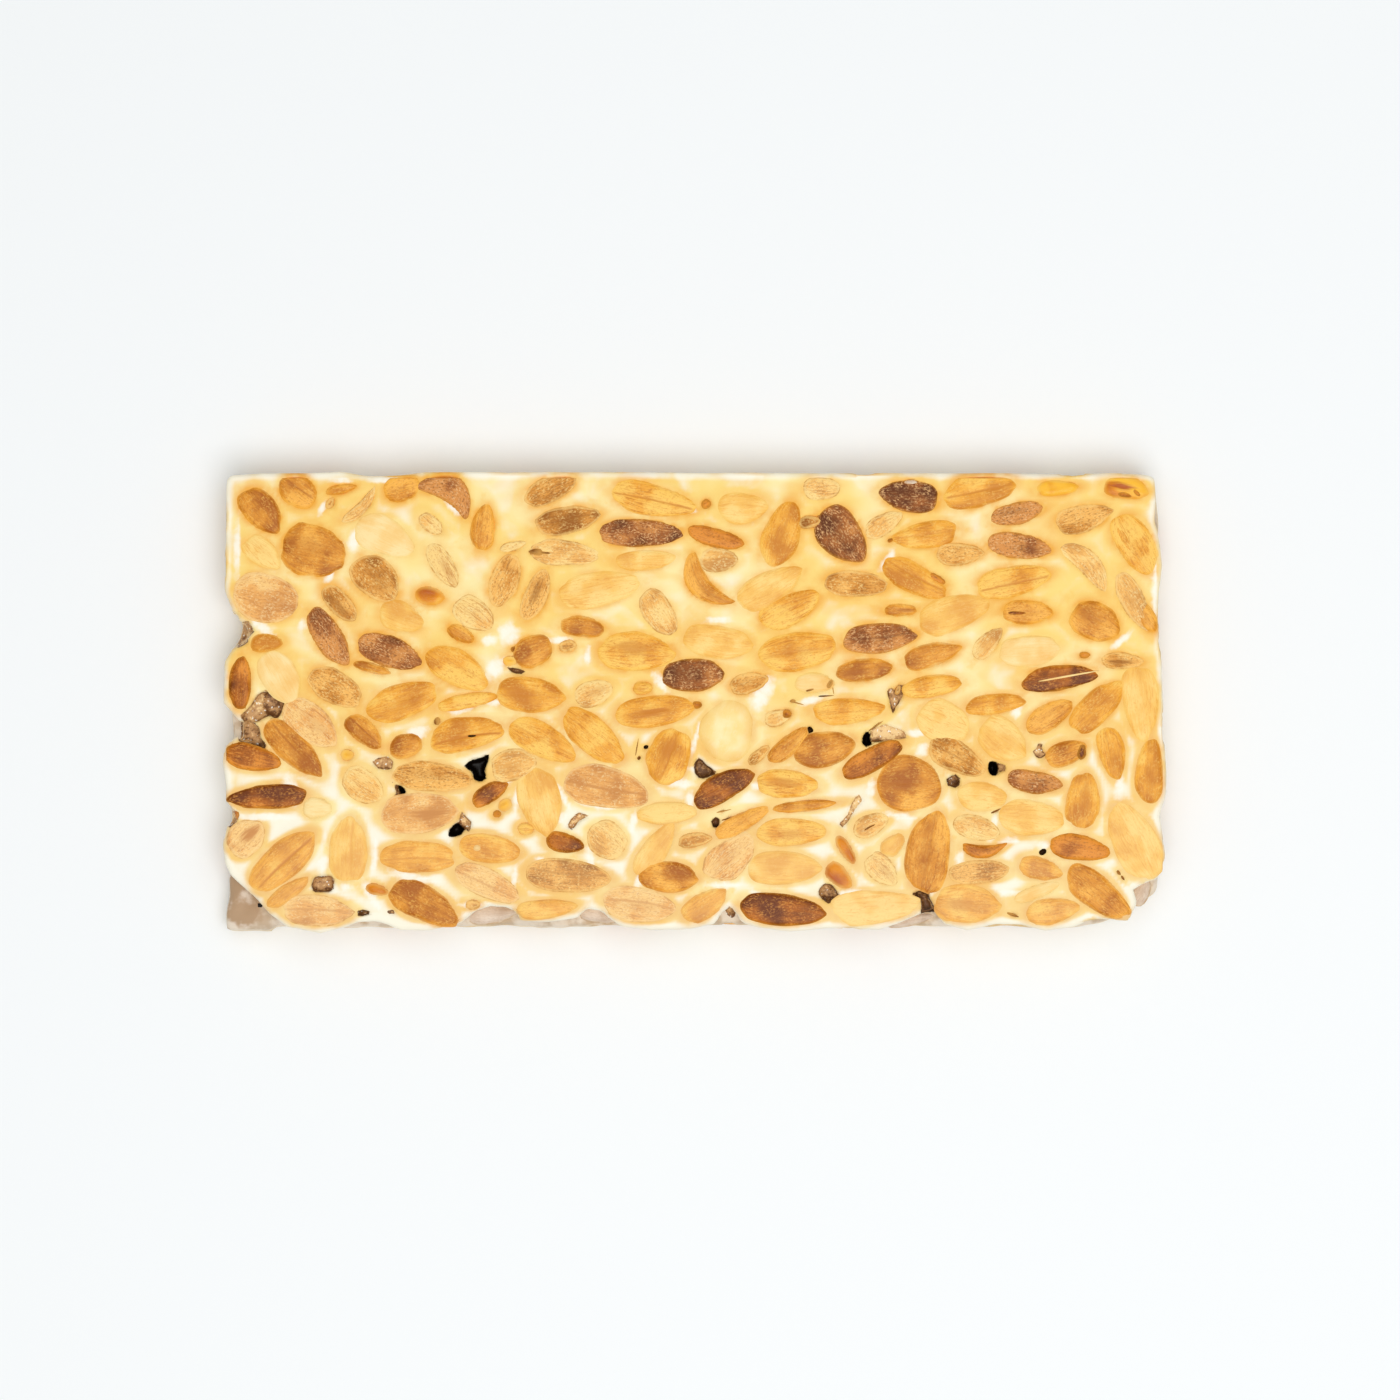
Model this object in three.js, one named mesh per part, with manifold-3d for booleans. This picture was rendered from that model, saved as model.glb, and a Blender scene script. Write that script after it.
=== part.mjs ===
// A slab of hard almond nougat: honey and egg-white candy pressed in a frame round whole and split almonds.
// It is one solid. The pressed body carries the almonds that lie in its top face and its four walls, and the
// gaps that the candy left open between them.
//
// Millimetres, +Z up. X runs along the bar, Y across it, and the origin is under the middle of the bar.

import * as THREE from "three";
import { mergeVertices } from "three/addons/utils/BufferGeometryUtils.js";
import Module from "manifold-3d";

// Driving dimensions: the inside of the frame that the bar is pressed in.
const BAR_LENGTH = 200;
const BAR_WIDTH = 97.8;
const BAR_HEIGHT = 15;

// Plan places are read on a ruler sheet with 940 marks along the bar, counted to the right and to the front.
const MARKS_ALONG = 940;
const MARK = BAR_LENGTH / MARKS_ALONG;
const MIDDLE_MARK = new THREE.Vector2(695, 702);

// The top face of the candy lies a little under the crowns of its almonds.
const CROWN = 0.7;
const CROWN_RISE = [0.4, 0.7];
const CANDY_TOP = BAR_HEIGHT - CROWN;
const EDGE_ROUNDING = 0.9;

// The lower half of the bar fills the frame better than the upper half, so it stands out as a ledge.
const LEDGE_HEIGHT = 8.2;
const LEDGE_ROUNDING = 0.8;
const WALL_SETBACK = 0.9;
const CORNER_RADIUS = 4;
const CORNER_STEPS = 3;
const WALL_STEP = 9;
const WALL_UNEVENNESS = 0.5;

// Low-sided almonds: sides round the long axis, rings along it, and how much the tip is slimmer.
const CROWN_SIDES = 4;
const CROWN_RINGS = 5;
const WALL_ALMOND_SIDES = 6;
const WALL_ALMOND_RINGS = 4;
const ALMOND_TAPER = 0.34;
const WALL_DOME_RISE = 1.7;

// The edge of the top face on the ruler sheet, clockwise from the back left corner. Its small bays are where
// the candy fell short of the frame and the ledge below shows.
const TOP_EDGE = [
  [229, 477], [262, 475], [300, 475], [340, 474], [366, 478], [396, 477], [425, 474], [520, 474], [620, 474],
  [720, 475], [800, 475], [890, 475], [980, 475], [1060, 476], [1110, 475], [1152, 478],

  [1155, 500], [1153, 520], [1158, 545], [1161, 565], [1157, 590], [1156, 620], [1160, 655], [1161, 690],
  [1163, 740], [1165, 775], [1164, 795], [1158, 815], [1161, 835], [1164, 856], [1157, 877], [1142, 882],
  [1131, 889], [1135, 903], [1128, 919],

  [1106, 917], [1090, 918], [1074, 925], [1045, 929], [1022, 923], [996, 922], [968, 928], [946, 922],
  [935, 909], [916, 914], [900, 921], [880, 928], [830, 926], [790, 930], [760, 926], [743, 921], [737, 911],
  [729, 906], [721, 911], [714, 922], [690, 927], [650, 928], [622, 925], [610, 917], [602, 909], [586, 907],
  [576, 916], [545, 920], [522, 919], [516, 910], [505, 905], [490, 904], [474, 909], [460, 921], [430, 928],
  [400, 928], [386, 922], [374, 919], [357, 920], [345, 925], [320, 931], [288, 925],

  [270, 912], [256, 896], [243, 884], [232, 874], [226, 862], [224, 845], [228, 830], [233, 812], [226, 800],
  [228, 788], [224, 762], [227, 746], [241, 736], [242, 720], [225, 702], [226, 662], [236, 647], [248, 636],
  [246, 626], [234, 612], [226, 590], [227, 545],
];
const EDGE_SETBACK = 0.45;

// The almonds and splits in the top face, in bands from the back to the front of the bar: the mark of the
// middle (along, down), length and width in marks, and the turn of the tip in degrees, seen from above.
const TOP_ALMONDS = [
  [261, 511, 55, 36, -48], [298, 491, 42, 34, -35], [341, 489, 32, 10, 12], [360, 505, 54, 18, 48],
  [402, 488, 38, 28, 15], [313, 551, 66, 54, -15], [262, 553, 46, 28, -40], [376, 579, 58, 42, -42],
  [266, 598, 68, 52, -12], [340, 604, 48, 24, -47], [385, 537, 66, 40, -25], [401, 617, 48, 32, -20],
  [329, 638, 66, 32, -57], [390, 652, 70, 34, -20], [448, 494, 62, 30, -35], [431, 524, 30, 17, -38],
  [483, 527, 46, 26, 85], [551, 489, 58, 28, 25], [568, 520, 68, 30, 12], [443, 566, 52, 26, -58],
  [513, 546, 28, 10, 15], [565, 553, 72, 27, -5], [505, 579, 56, 32, 68], [536, 594, 56, 26, 68],
  [430, 596, 30, 20, -10], [474, 614, 46, 32, -35], [600, 589, 84, 38, 10], [583, 627, 46, 22, -8],
  [654, 500, 88, 34, -12], [641, 533, 86, 30, 0], [717, 538, 60, 20, -15], [719, 560, 40, 26, 0],
  [705, 583, 66, 30, -50], [743, 508, 52, 34, 0], [782, 533, 70, 40, 72], [770, 587, 76, 34, 28],
  [659, 613, 52, 32, -55], [790, 609, 66, 34, 25], [646, 560, 62, 22, 3], [822, 488, 38, 26, 0],
  [842, 536, 66, 46, -52], [909, 496, 62, 34, -8], [980, 490, 74, 38, 12], [925, 535, 68, 28, 188],
  [884, 524, 44, 22, 30], [960, 554, 50, 24, 3], [857, 584, 66, 28, -3], [915, 579, 72, 32, -28],
  [901, 610, 34, 13, 0], [954, 613, 76, 38, 16], [1058, 488, 44, 15, 3], [1127, 488, 46, 25, -8],
  [1018, 513, 56, 24, 12], [1084, 518, 60, 30, 15], [1020, 546, 66, 28, -8], [1136, 545, 66, 40, -60],
  [1014, 581, 76, 34, 12], [1087, 566, 66, 32, -48], [1134, 602, 68, 34, -62], [1026, 612, 52, 22, 0],
  [1096, 622, 54, 40, -25],

  [266, 643, 34, 20, 5], [240, 682, 54, 24, 88], [280, 678, 60, 40, -60], [336, 688, 60, 36, -28],
  [311, 724, 66, 40, -40], [294, 749, 78, 34, -45], [364, 732, 46, 24, -42], [406, 746, 34, 26, 12],
  [403, 701, 76, 38, 18], [253, 758, 58, 28, -12], [372, 668, 40, 10, -15], [461, 634, 30, 16, -30],
  [458, 669, 72, 38, -28], [533, 651, 40, 34, 20], [531, 695, 72, 38, -5], [468, 701, 62, 16, 10],
  [467, 734, 76, 36, 10], [543, 741, 76, 36, -28], [594, 737, 78, 38, -40], [514, 765, 48, 34, 12],
  [433, 777, 82, 32, -5], [594, 693, 40, 28, 20], [637, 652, 80, 42, -3], [719, 642, 72, 36, -6],
  [694, 675, 64, 36, 3], [749, 683, 42, 22, 15], [656, 711, 82, 34, 8], [669, 756, 56, 46, 70],
  [727, 731, 62, 56, 75], [759, 755, 28, 12, 40], [789, 745, 52, 20, 42], [777, 718, 26, 18, 15],
  [799, 651, 78, 42, 8], [880, 638, 78, 32, 6], [865, 670, 58, 25, 5], [932, 655, 60, 26, 15],
  [933, 686, 60, 24, 8], [849, 711, 74, 28, 3], [825, 749, 66, 38, 12], [873, 759, 68, 26, 28],
  [944, 722, 56, 44, -25], [957, 757, 66, 32, -30], [815, 683, 40, 22, 0], [988, 643, 42, 20, 48],
  [1031, 651, 62, 34, 5], [1060, 678, 76, 28, 7], [1123, 661, 44, 18, -3], [1098, 706, 70, 34, 45],
  [1050, 716, 54, 28, 30], [996, 704, 62, 22, 8], [1112, 753, 56, 28, -78], [1141, 703, 78, 38, -85],
  [1150, 771, 66, 30, 88], [1067, 753, 44, 26, 20], [1003, 740, 56, 42, -35],

  [267, 797, 80, 27, 183], [363, 786, 46, 34, -35], [317, 808, 30, 22, 0], [246, 838, 44, 36, 40],
  [284, 860, 84, 40, 43], [348, 849, 68, 42, 88], [288, 892, 50, 18, 35], [318, 911, 74, 34, -3],
  [377, 890, 24, 12, -15], [424, 904, 76, 38, -27], [420, 813, 80, 44, 5], [490, 793, 42, 20, 30],
  [540, 802, 72, 46, -75], [419, 857, 76, 34, 0], [490, 849, 62, 32, -8], [565, 843, 40, 21, -15],
  [488, 884, 74, 30, -25], [569, 876, 88, 36, -5], [547, 909, 62, 20, 5], [607, 788, 90, 44, -10],
  [607, 840, 42, 38, -40], [655, 850, 66, 28, 55], [668, 813, 62, 24, 3], [669, 877, 62, 34, -5],
  [695, 840, 36, 15, 8], [742, 822, 60, 20, 27], [731, 857, 60, 40, 42], [792, 832, 72, 30, 0],
  [785, 868, 76, 36, 0], [788, 784, 64, 30, -5], [724, 787, 70, 30, 27], [640, 905, 76, 38, -8],
  [705, 905, 52, 28, 33], [783, 910, 90, 34, -5], [805, 806, 64, 12, 6], [871, 825, 38, 24, 25],
  [846, 850, 34, 12, -58], [839, 876, 34, 20, -45], [893, 845, 28, 20, 40], [882, 870, 40, 28, -45],
  [909, 784, 68, 58, 0], [929, 851, 84, 48, 80], [976, 794, 60, 36, -5], [977, 828, 50, 26, -15],
  [984, 849, 46, 14, 3], [980, 872, 62, 26, 5], [968, 904, 68, 42, -5], [875, 907, 90, 36, 3],
  [1035, 782, 56, 25, -8], [1083, 800, 58, 36, 85], [1032, 818, 66, 40, -5], [1080, 848, 62, 28, -8],
  [1041, 869, 46, 24, -15], [1037, 892, 50, 14, 20], [1053, 911, 56, 28, 8], [1098, 893, 76, 36, -38],
  [1134, 840, 86, 48, 118],
];

// Almonds that show on the ledge beside the top face, written as the ones above.
const LEDGE_ALMONDS = [
  [490, 915, 54, 22, 4], [598, 916, 40, 20, -12], [912, 921, 50, 14, 10], [1143, 893, 32, 22, 60],
];
const LEDGE_ALMOND_RISE = 1.4;

// The gaps between almonds that the candy left open in the top face: depth in millimetres, and the marks of
// the corners of the gap's mouth.
const GAPS = [
  [3.2, [[242, 622], [248, 621], [254, 631], [247, 638], [248, 643], [236, 648], [234, 636], [238, 625]]],
  [2.6, [[265, 692], [272, 691], [284, 701], [281, 713], [276, 719], [264, 713], [260, 703]]],
  [1.8, [[242, 715], [262, 708], [268, 716], [256, 722], [244, 724]]],
  [3.2, [[238, 722], [252, 721], [259, 728], [260, 738], [266, 745], [263, 751], [252, 744], [238, 741]]],
  [1, [[372, 762], [380, 757], [388, 757], [393, 762], [391, 770], [378, 769]]],
  [1.6, [[506, 667], [515, 668], [525, 671], [523, 674], [513, 673]]],
  [6, [[469, 761], [480, 758], [489, 754], [487, 764], [484, 771], [487, 778], [480, 782], [474, 780], [472, 772],
    [464, 766]]],
  [5, [[396, 784], [404, 788], [406, 793], [401, 796], [398, 790]]],
  [5, [[449, 830], [453, 825], [457, 823], [465, 829], [461, 835], [455, 837], [448, 837]]],
  [1.8, [[461, 811], [466, 817], [471, 822], [470, 832], [464, 829], [459, 822]]],
  [3, [[699, 757], [705, 764], [717, 773], [708, 777], [700, 779], [695, 773], [694, 765]]],
  [5, [[867, 730], [871, 734], [870, 740], [873, 744], [866, 747], [862, 743], [863, 737]]],
  [0.9, [[872, 729], [884, 724], [904, 731], [908, 738], [880, 741], [871, 741]]],
  [3, [[947, 779], [955, 774], [960, 778], [960, 785], [956, 788], [948, 786]]],
  [5.5, [[990, 761], [997, 762], [999, 770], [997, 776], [991, 775], [988, 769]]],
  [1.2, [[998, 762], [1006, 766], [1006, 771], [998, 772]]],
  [0.8, [[1031, 750], [1036, 750], [1039, 743], [1043, 743], [1042, 750], [1047, 754], [1041, 760], [1036, 756]]],
  [2.4, [[314, 877], [330, 876], [334, 880], [333, 889], [329, 892], [313, 892], [311, 885]]],
  [2.8, [[820, 888], [826, 883], [832, 885], [840, 896], [829, 904], [822, 899], [818, 893]]],
  [3.8, [[912, 894], [920, 891], [928, 893], [931, 900], [937, 913], [921, 914], [922, 903], [918, 898]]],
  [1.4, [[567, 827], [571, 819], [578, 813], [589, 815], [578, 822], [572, 830]]],
  [2, [[711, 822], [715, 817], [720, 819], [718, 828], [713, 827]]],
  [2.2, [[357, 910], [369, 911], [371, 914], [358, 917]]],
  [2.2, [[387, 911], [393, 910], [395, 914], [388, 914]]],
  [2.4, [[725, 912], [730, 906], [736, 914], [734, 920], [728, 917]]],
  [0.8, [[848, 815], [852, 803], [858, 794], [863, 800], [856, 808], [849, 820], [843, 828], [839, 824]]],
  [1, [[887, 696], [894, 690], [901, 692], [899, 702], [893, 708], [890, 702]]],
  [2.2, [[227, 811], [236, 813], [236, 826], [228, 828]]],
];

// The front right corner of the ledge broke off along this line between two marks.
const BROKEN_CORNER = [[1165, 893], [1130, 911]];

// In the front left corner the candy ran a little further out, at a lower level than the ledge.
const CORNER_RUN = [[228, 880], [240, 880], [264, 908], [266, 929], [226, 929], [226, 912], [228, 896]];
const CORNER_RUN_DROP = 0.8;

// In one place on the left the frame wasn't filled right through the bar.
const OPEN_BAY = [[215, 614], [236, 614], [239, 626], [236, 640], [228, 650], [215, 650]];

// Almonds in the walls lie in two staggered rows. Sizes and places are in millimetres.
const WALL_ROWS = [4.2, 10.4];
const WALL_ALMOND_STEP = [10.5, 14];
const WALL_ALMOND_LENGTH = [9, 17];
const WALL_ALMOND_WIDTH = [5.5, 7.6];
const WALL_ALMOND_TURN = 34;
const WALL_ALMOND_DROP = 1;
const WALL_ALMOND_REACH = [0.6, 1.3];
const WALL_END_MARGIN = 9;

// The seeds of the draws that keep the walls and the almonds uneven.
const SEED_LEDGE = 11;
const SEED_CROWNS = 29;
const SEED_WALLS = 47;

// A repeatable draw: each call gives the next number from 0 up to 1.
function drawer(seed) {
  let state = seed;
  return () => {
    state = (Math.imul(state, 1664525) + 1013904223) >>> 0;
    return state / 4294967296;
  };
}

function between(draw, [low, high]) {
  return low + (high - low) * draw();
}

// The place of a ruler mark on the bar, in millimetres.
function place(along, down) {
  return new THREE.Vector2((along - MIDDLE_MARK.x) * MARK, (MIDDLE_MARK.y - down) * MARK);
}

const wasm = await Module();
wasm.setup();

// A closed geometry as a solid that can be joined and cut.
function solidOf(geometry) {
  const bare = geometry.clone();
  bare.deleteAttribute("normal");
  bare.deleteAttribute("uv");
  const merged = mergeVertices(bare, 1e-4);
  return new wasm.Manifold(new wasm.Mesh({
    numProp: 3,
    vertProperties: Float32Array.from(merged.attributes.position.array),
    triVerts: Uint32Array.from(merged.index.array),
  }));
}

// The joined solid as a geometry again, with flat faces.
function geometryOf(solid) {
  const mesh = solid.getMesh();
  const geometry = new THREE.BufferGeometry();
  geometry.setAttribute("position", new THREE.BufferAttribute(mesh.vertProperties, mesh.numProp));
  geometry.setIndex(new THREE.BufferAttribute(mesh.triVerts, 1));
  geometry.computeVertexNormals();
  return geometry;
}

// A slab over an outline, with its top edge rounded over.
function slab(outline, height, rounding) {
  const geometry = new THREE.ExtrudeGeometry(new THREE.Shape(outline), {
    depth: height - rounding,
    bevelThickness: rounding,
    bevelSize: rounding,
    bevelOffset: -rounding,
    bevelSegments: 2,
  });
  return solidOf(geometry);
}

// The lower half's outline: the frame's rectangle with rounded corners, set back unevenly from its walls.
function ledgeOutline() {
  const draw = drawer(SEED_LEDGE);
  const halfLength = BAR_LENGTH / 2 - WALL_SETBACK;
  const halfWidth = BAR_WIDTH / 2 - WALL_SETBACK;
  const outline = [];
  for (let corner = 0; corner < 4; corner += 1) {
    const signX = corner === 0 || corner === 3 ? 1 : -1;
    const signY = corner < 2 ? 1 : -1;
    const centre = new THREE.Vector2(
      signX * (halfLength - CORNER_RADIUS), signY * (halfWidth - CORNER_RADIUS));
    for (let step = 0; step <= CORNER_STEPS; step += 1) {
      const angle = (corner + step / CORNER_STEPS) * Math.PI / 2;
      const radius = new THREE.Vector2(Math.cos(angle), Math.sin(angle)).multiplyScalar(CORNER_RADIUS);
      outline.push(centre.clone().add(radius));
    }
    const alongX = corner % 2 === 0;
    const run = 2 * ((alongX ? halfLength : halfWidth) - CORNER_RADIUS);
    const heading = new THREE.Vector2(alongX ? -signX : 0, alongX ? 0 : -signY);
    const inward = new THREE.Vector2(alongX ? 0 : -signX, alongX ? -signY : 0);
    const start = outline[outline.length - 1];
    const count = Math.round(run / WALL_STEP);
    for (let step = 1; step < count; step += 1) {
      const point = start.clone().addScaledVector(heading, run * step / count);
      outline.push(point.addScaledVector(inward, WALL_UNEVENNESS * (2 * draw() - 1)));
    }
  }
  return outline;
}

// The upper half's outline, through the marks of the top face's edge. It is drawn in a little, because the
// almonds at the edge reach further out than the candy between them.
function topOutline() {
  const drawnIn = new THREE.Vector2(1 - 2 * EDGE_SETBACK / BAR_LENGTH, 1 - 2 * EDGE_SETBACK / BAR_WIDTH);
  return TOP_EDGE.map(([along, down]) => place(along, down).multiply(drawnIn));
}

// A low-sided almond lying along X with its slim tip at +X, shaped by its full length, width and depth.
function almondGeometry(length, width, depth, sides, rings) {
  const geometry = new THREE.SphereGeometry(0.5, sides, rings);
  geometry.rotateZ(-Math.PI / 2);
  const position = geometry.attributes.position;
  for (let index = 0; index < position.count; index += 1) {
    const slimness = 1 - ALMOND_TAPER * (position.getX(index) + 0.15);
    position.setY(index, position.getY(index) * slimness);
  }
  return geometry.scale(length, width, depth);
}

// An almond in a level face of the candy, of which only the low crown stands out.
function levelAlmond([along, down, length, width, turn], level, rise) {
  const geometry = almondGeometry(length * MARK, width * MARK, 2 * rise, CROWN_SIDES, CROWN_RINGS);
  geometry.rotateZ(THREE.MathUtils.degToRad(turn));
  const middle = place(along, down);
  geometry.translate(middle.x, middle.y, level);
  return solidOf(geometry);
}

// A gap in the top face, cut straight down from its mouth.
function gapCutter([depth, corners]) {
  const mouth = new THREE.Shape(corners.map(([along, down]) => place(along, down)));
  const geometry = new THREE.ExtrudeGeometry(mouth, { depth: depth + 2 * CROWN, bevelEnabled: false });
  geometry.translate(0, 0, CANDY_TOP - depth);
  return solidOf(geometry);
}

// A block over a closed outline of marks, right through the bar.
function throughCutter(corners) {
  const outline = new THREE.Shape(corners.map(([along, down]) => place(along, down)));
  const geometry = new THREE.ExtrudeGeometry(outline, { depth: 2 * BAR_HEIGHT, bevelEnabled: false });
  geometry.translate(0, 0, -BAR_HEIGHT / 2);
  return solidOf(geometry);
}

// What broke off the front right corner: a block beyond the line, as long as twice the line.
function cornerCutter() {
  const [start, end] = BROKEN_CORNER.map(([along, down]) => place(along, down));
  const line = end.clone().sub(start);
  const geometry = new THREE.BoxGeometry(2 * line.length(), line.length(), 2 * BAR_HEIGHT);
  geometry.translate(0, line.length() / 2, 0);
  geometry.rotateZ(line.angle());
  const middle = start.clone().add(end).divideScalar(2);
  geometry.translate(middle.x, middle.y, 0);
  return solidOf(geometry);
}

// The almonds of the four walls, walked anticlockwise round the bar from the front wall's left end.
function wallAlmonds() {
  const draw = drawer(SEED_WALLS);
  const solids = [];
  for (let wall = 0; wall < 4; wall += 1) {
    const run = wall % 2 === 0 ? BAR_LENGTH : BAR_WIDTH;
    const reach = wall % 2 === 0 ? BAR_WIDTH / 2 : BAR_LENGTH / 2;
    let row = 0;
    for (let along = WALL_END_MARGIN; along < run - WALL_END_MARGIN; along += between(draw, WALL_ALMOND_STEP)) {
      const length = between(draw, WALL_ALMOND_LENGTH);
      const width = between(draw, WALL_ALMOND_WIDTH);
      const turn = WALL_ALMOND_TURN * (2 * draw() - 1);
      const height = WALL_ROWS[row] + WALL_ALMOND_DROP * (2 * draw() - 1);
      const out = reach - WALL_SETBACK + between(draw, WALL_ALMOND_REACH) - WALL_DOME_RISE;
      const geometry = almondGeometry(
        length, width, 2 * WALL_DOME_RISE, WALL_ALMOND_SIDES, WALL_ALMOND_RINGS);
      geometry.rotateZ(THREE.MathUtils.degToRad(turn));
      geometry.rotateX(Math.PI / 2);
      geometry.translate(along - run / 2, -out, height);
      geometry.rotateZ(wall * Math.PI / 2);
      solids.push(solidOf(geometry));
      row = 1 - row;
    }
  }
  return solids;
}

// The frame that the bar is pressed in: nothing of the bar reaches past its walls, floor or lid.
function pressFrame() {
  const geometry = new THREE.BoxGeometry(BAR_LENGTH, BAR_WIDTH, BAR_HEIGHT);
  geometry.translate(0, 0, BAR_HEIGHT / 2);
  return solidOf(geometry);
}

// The outer skin of a joined solid: a hollow that joining sealed is filled, and a loose scrap is dropped.
function outerSkin(solid) {
  return solid.decompose().reduce((largest, shell) => (shell.volume() > largest.volume() ? shell : largest));
}

function nougatBar() {
  const draw = drawer(SEED_CROWNS);
  const lower = slab(ledgeOutline(), LEDGE_HEIGHT, LEDGE_ROUNDING);
  const upper = slab(topOutline(), CANDY_TOP, EDGE_ROUNDING);
  const crowns = TOP_ALMONDS.map((almond) => levelAlmond(almond, CANDY_TOP, between(draw, CROWN_RISE)));
  const onLedge = LEDGE_ALMONDS.map((almond) => levelAlmond(almond, LEDGE_HEIGHT, LEDGE_ALMOND_RISE));
  const run = slab(CORNER_RUN.map(([along, down]) => place(along, down)), LEDGE_HEIGHT - CORNER_RUN_DROP, 0.6);
  const pieces = [lower, run, upper, ...crowns, ...onLedge, ...wallAlmonds()];
  const whole = pieces.reduce((joined, piece) => joined.add(piece));
  const cutters = [...GAPS.map(gapCutter), cornerCutter(), throughCutter(OPEN_BAY)];
  const opened = cutters.reduce((rest, cutter) => rest.subtract(cutter), whole);
  return geometryOf(outerSkin(opened.intersect(pressFrame())));
}

const group = new THREE.Group();
const candy = new THREE.MeshStandardMaterial({ color: 0xf3d9a0, roughness: 0.45, metalness: 0 });
const bar = new THREE.Mesh(nougatBar(), candy);
bar.name = "nougat_bar";
group.add(bar);

export default group;
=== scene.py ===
# %% [markdown]
# # A bar of hard almond nougat
#
# The real bar is candy of honey, sugar and egg white, cooked hard and pressed in a frame round toasted
# almonds. It is a slab, and everything that makes it look good is in its faces: almonds, flakes and drops of
# thirteen sorts lie flush in a milky, slightly see-through candy. This lesson makes the slab as one skin round
# a field of distances, then the almonds as joined meshes, one for each sort, each with a finish of its own.
#
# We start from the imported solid. It gives the size of the bar, and every new piece is made to fit it.

# %% Load the frame
import math

import bpy
import numpy as np
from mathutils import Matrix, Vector


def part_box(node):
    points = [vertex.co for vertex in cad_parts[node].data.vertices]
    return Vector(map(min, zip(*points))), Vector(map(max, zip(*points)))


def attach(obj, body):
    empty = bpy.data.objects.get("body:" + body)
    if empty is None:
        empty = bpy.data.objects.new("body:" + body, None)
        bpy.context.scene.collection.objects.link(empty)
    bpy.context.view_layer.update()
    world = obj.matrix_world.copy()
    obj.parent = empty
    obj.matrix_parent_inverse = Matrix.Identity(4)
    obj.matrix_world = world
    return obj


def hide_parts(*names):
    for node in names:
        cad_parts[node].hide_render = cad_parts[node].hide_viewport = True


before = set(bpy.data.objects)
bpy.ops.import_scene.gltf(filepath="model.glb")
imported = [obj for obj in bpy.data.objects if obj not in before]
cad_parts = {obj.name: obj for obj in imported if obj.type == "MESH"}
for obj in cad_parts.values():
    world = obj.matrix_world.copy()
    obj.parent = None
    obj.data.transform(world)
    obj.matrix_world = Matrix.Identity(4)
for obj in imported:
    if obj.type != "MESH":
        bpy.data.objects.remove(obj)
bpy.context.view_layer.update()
MM = 0.001
low, high = (np.array(corner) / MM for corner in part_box("nougat_bar"))
BAR_LENGTH, BAR_WIDTH, BAR_HEIGHT = high - low
print(f"the bar is {BAR_LENGTH:.1f} x {BAR_WIDTH:.1f} x {BAR_HEIGHT:.1f} mm")

# %% [markdown]
# ## Where things lie
#
# The almonds lie where a hand dropped them, so no formula gives their places. We read them on a ruler sheet
# that has 940 marks along the bar, and one small function turns marks into millimetres. The heights of the
# bar's levels are named here once, with the two helpers that the whole lesson uses.

# %% Sizes and the ruler sheet
MARK = BAR_LENGTH / 940
MIDDLE_MARK = np.array([695, 702])
CROWN = 0.45  # how far the top almonds may stand out of the candy, in mm like all sizes here
CANDY_TOP = BAR_HEIGHT - CROWN
LEDGE_HEIGHT = 8.2
WALL_SETBACK = 0.9  # room for the crowns of the wall almonds


def place(along, down):
    """The place of a ruler mark on the bar, in millimetres."""
    return np.array([along - MIDDLE_MARK[0], MIDDLE_MARK[1] - down]) * MARK


def ease(value, start, end):
    """0 before start, 1 after end, and a smooth rise or fall between them."""
    share = np.clip((value - start) / (end - start), 0, 1)
    return share * share * (3 - 2 * share)


def drawer(seed):
    """A repeatable draw: each call gives the next number from low up to high."""
    state = seed

    def draw(low=0.0, high=1.0):
        nonlocal state
        state = (state * 1664525 + 1013904223) % 2**32
        return low + (high - low) * state / 2**32

    return draw


print(f"one mark is {MARK:.4f} mm")

# %% [markdown]
# ## The almonds in the top face
#
# Each row is one almond: the mark of its middle (along the bar, and down towards the front), its length and
# width in marks, and the turn of its tip in degrees. Up to three more numbers follow where they are needed:
# how much lighter (+) or darker (-) it is than its sort, and how strong its lengthwise crease and its dark core
# are. The rows are kept by sort, because each sort becomes one mesh with one finish: a few hundred separate
# objects would be slow to handle, and nothing here moves on its own.

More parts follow.
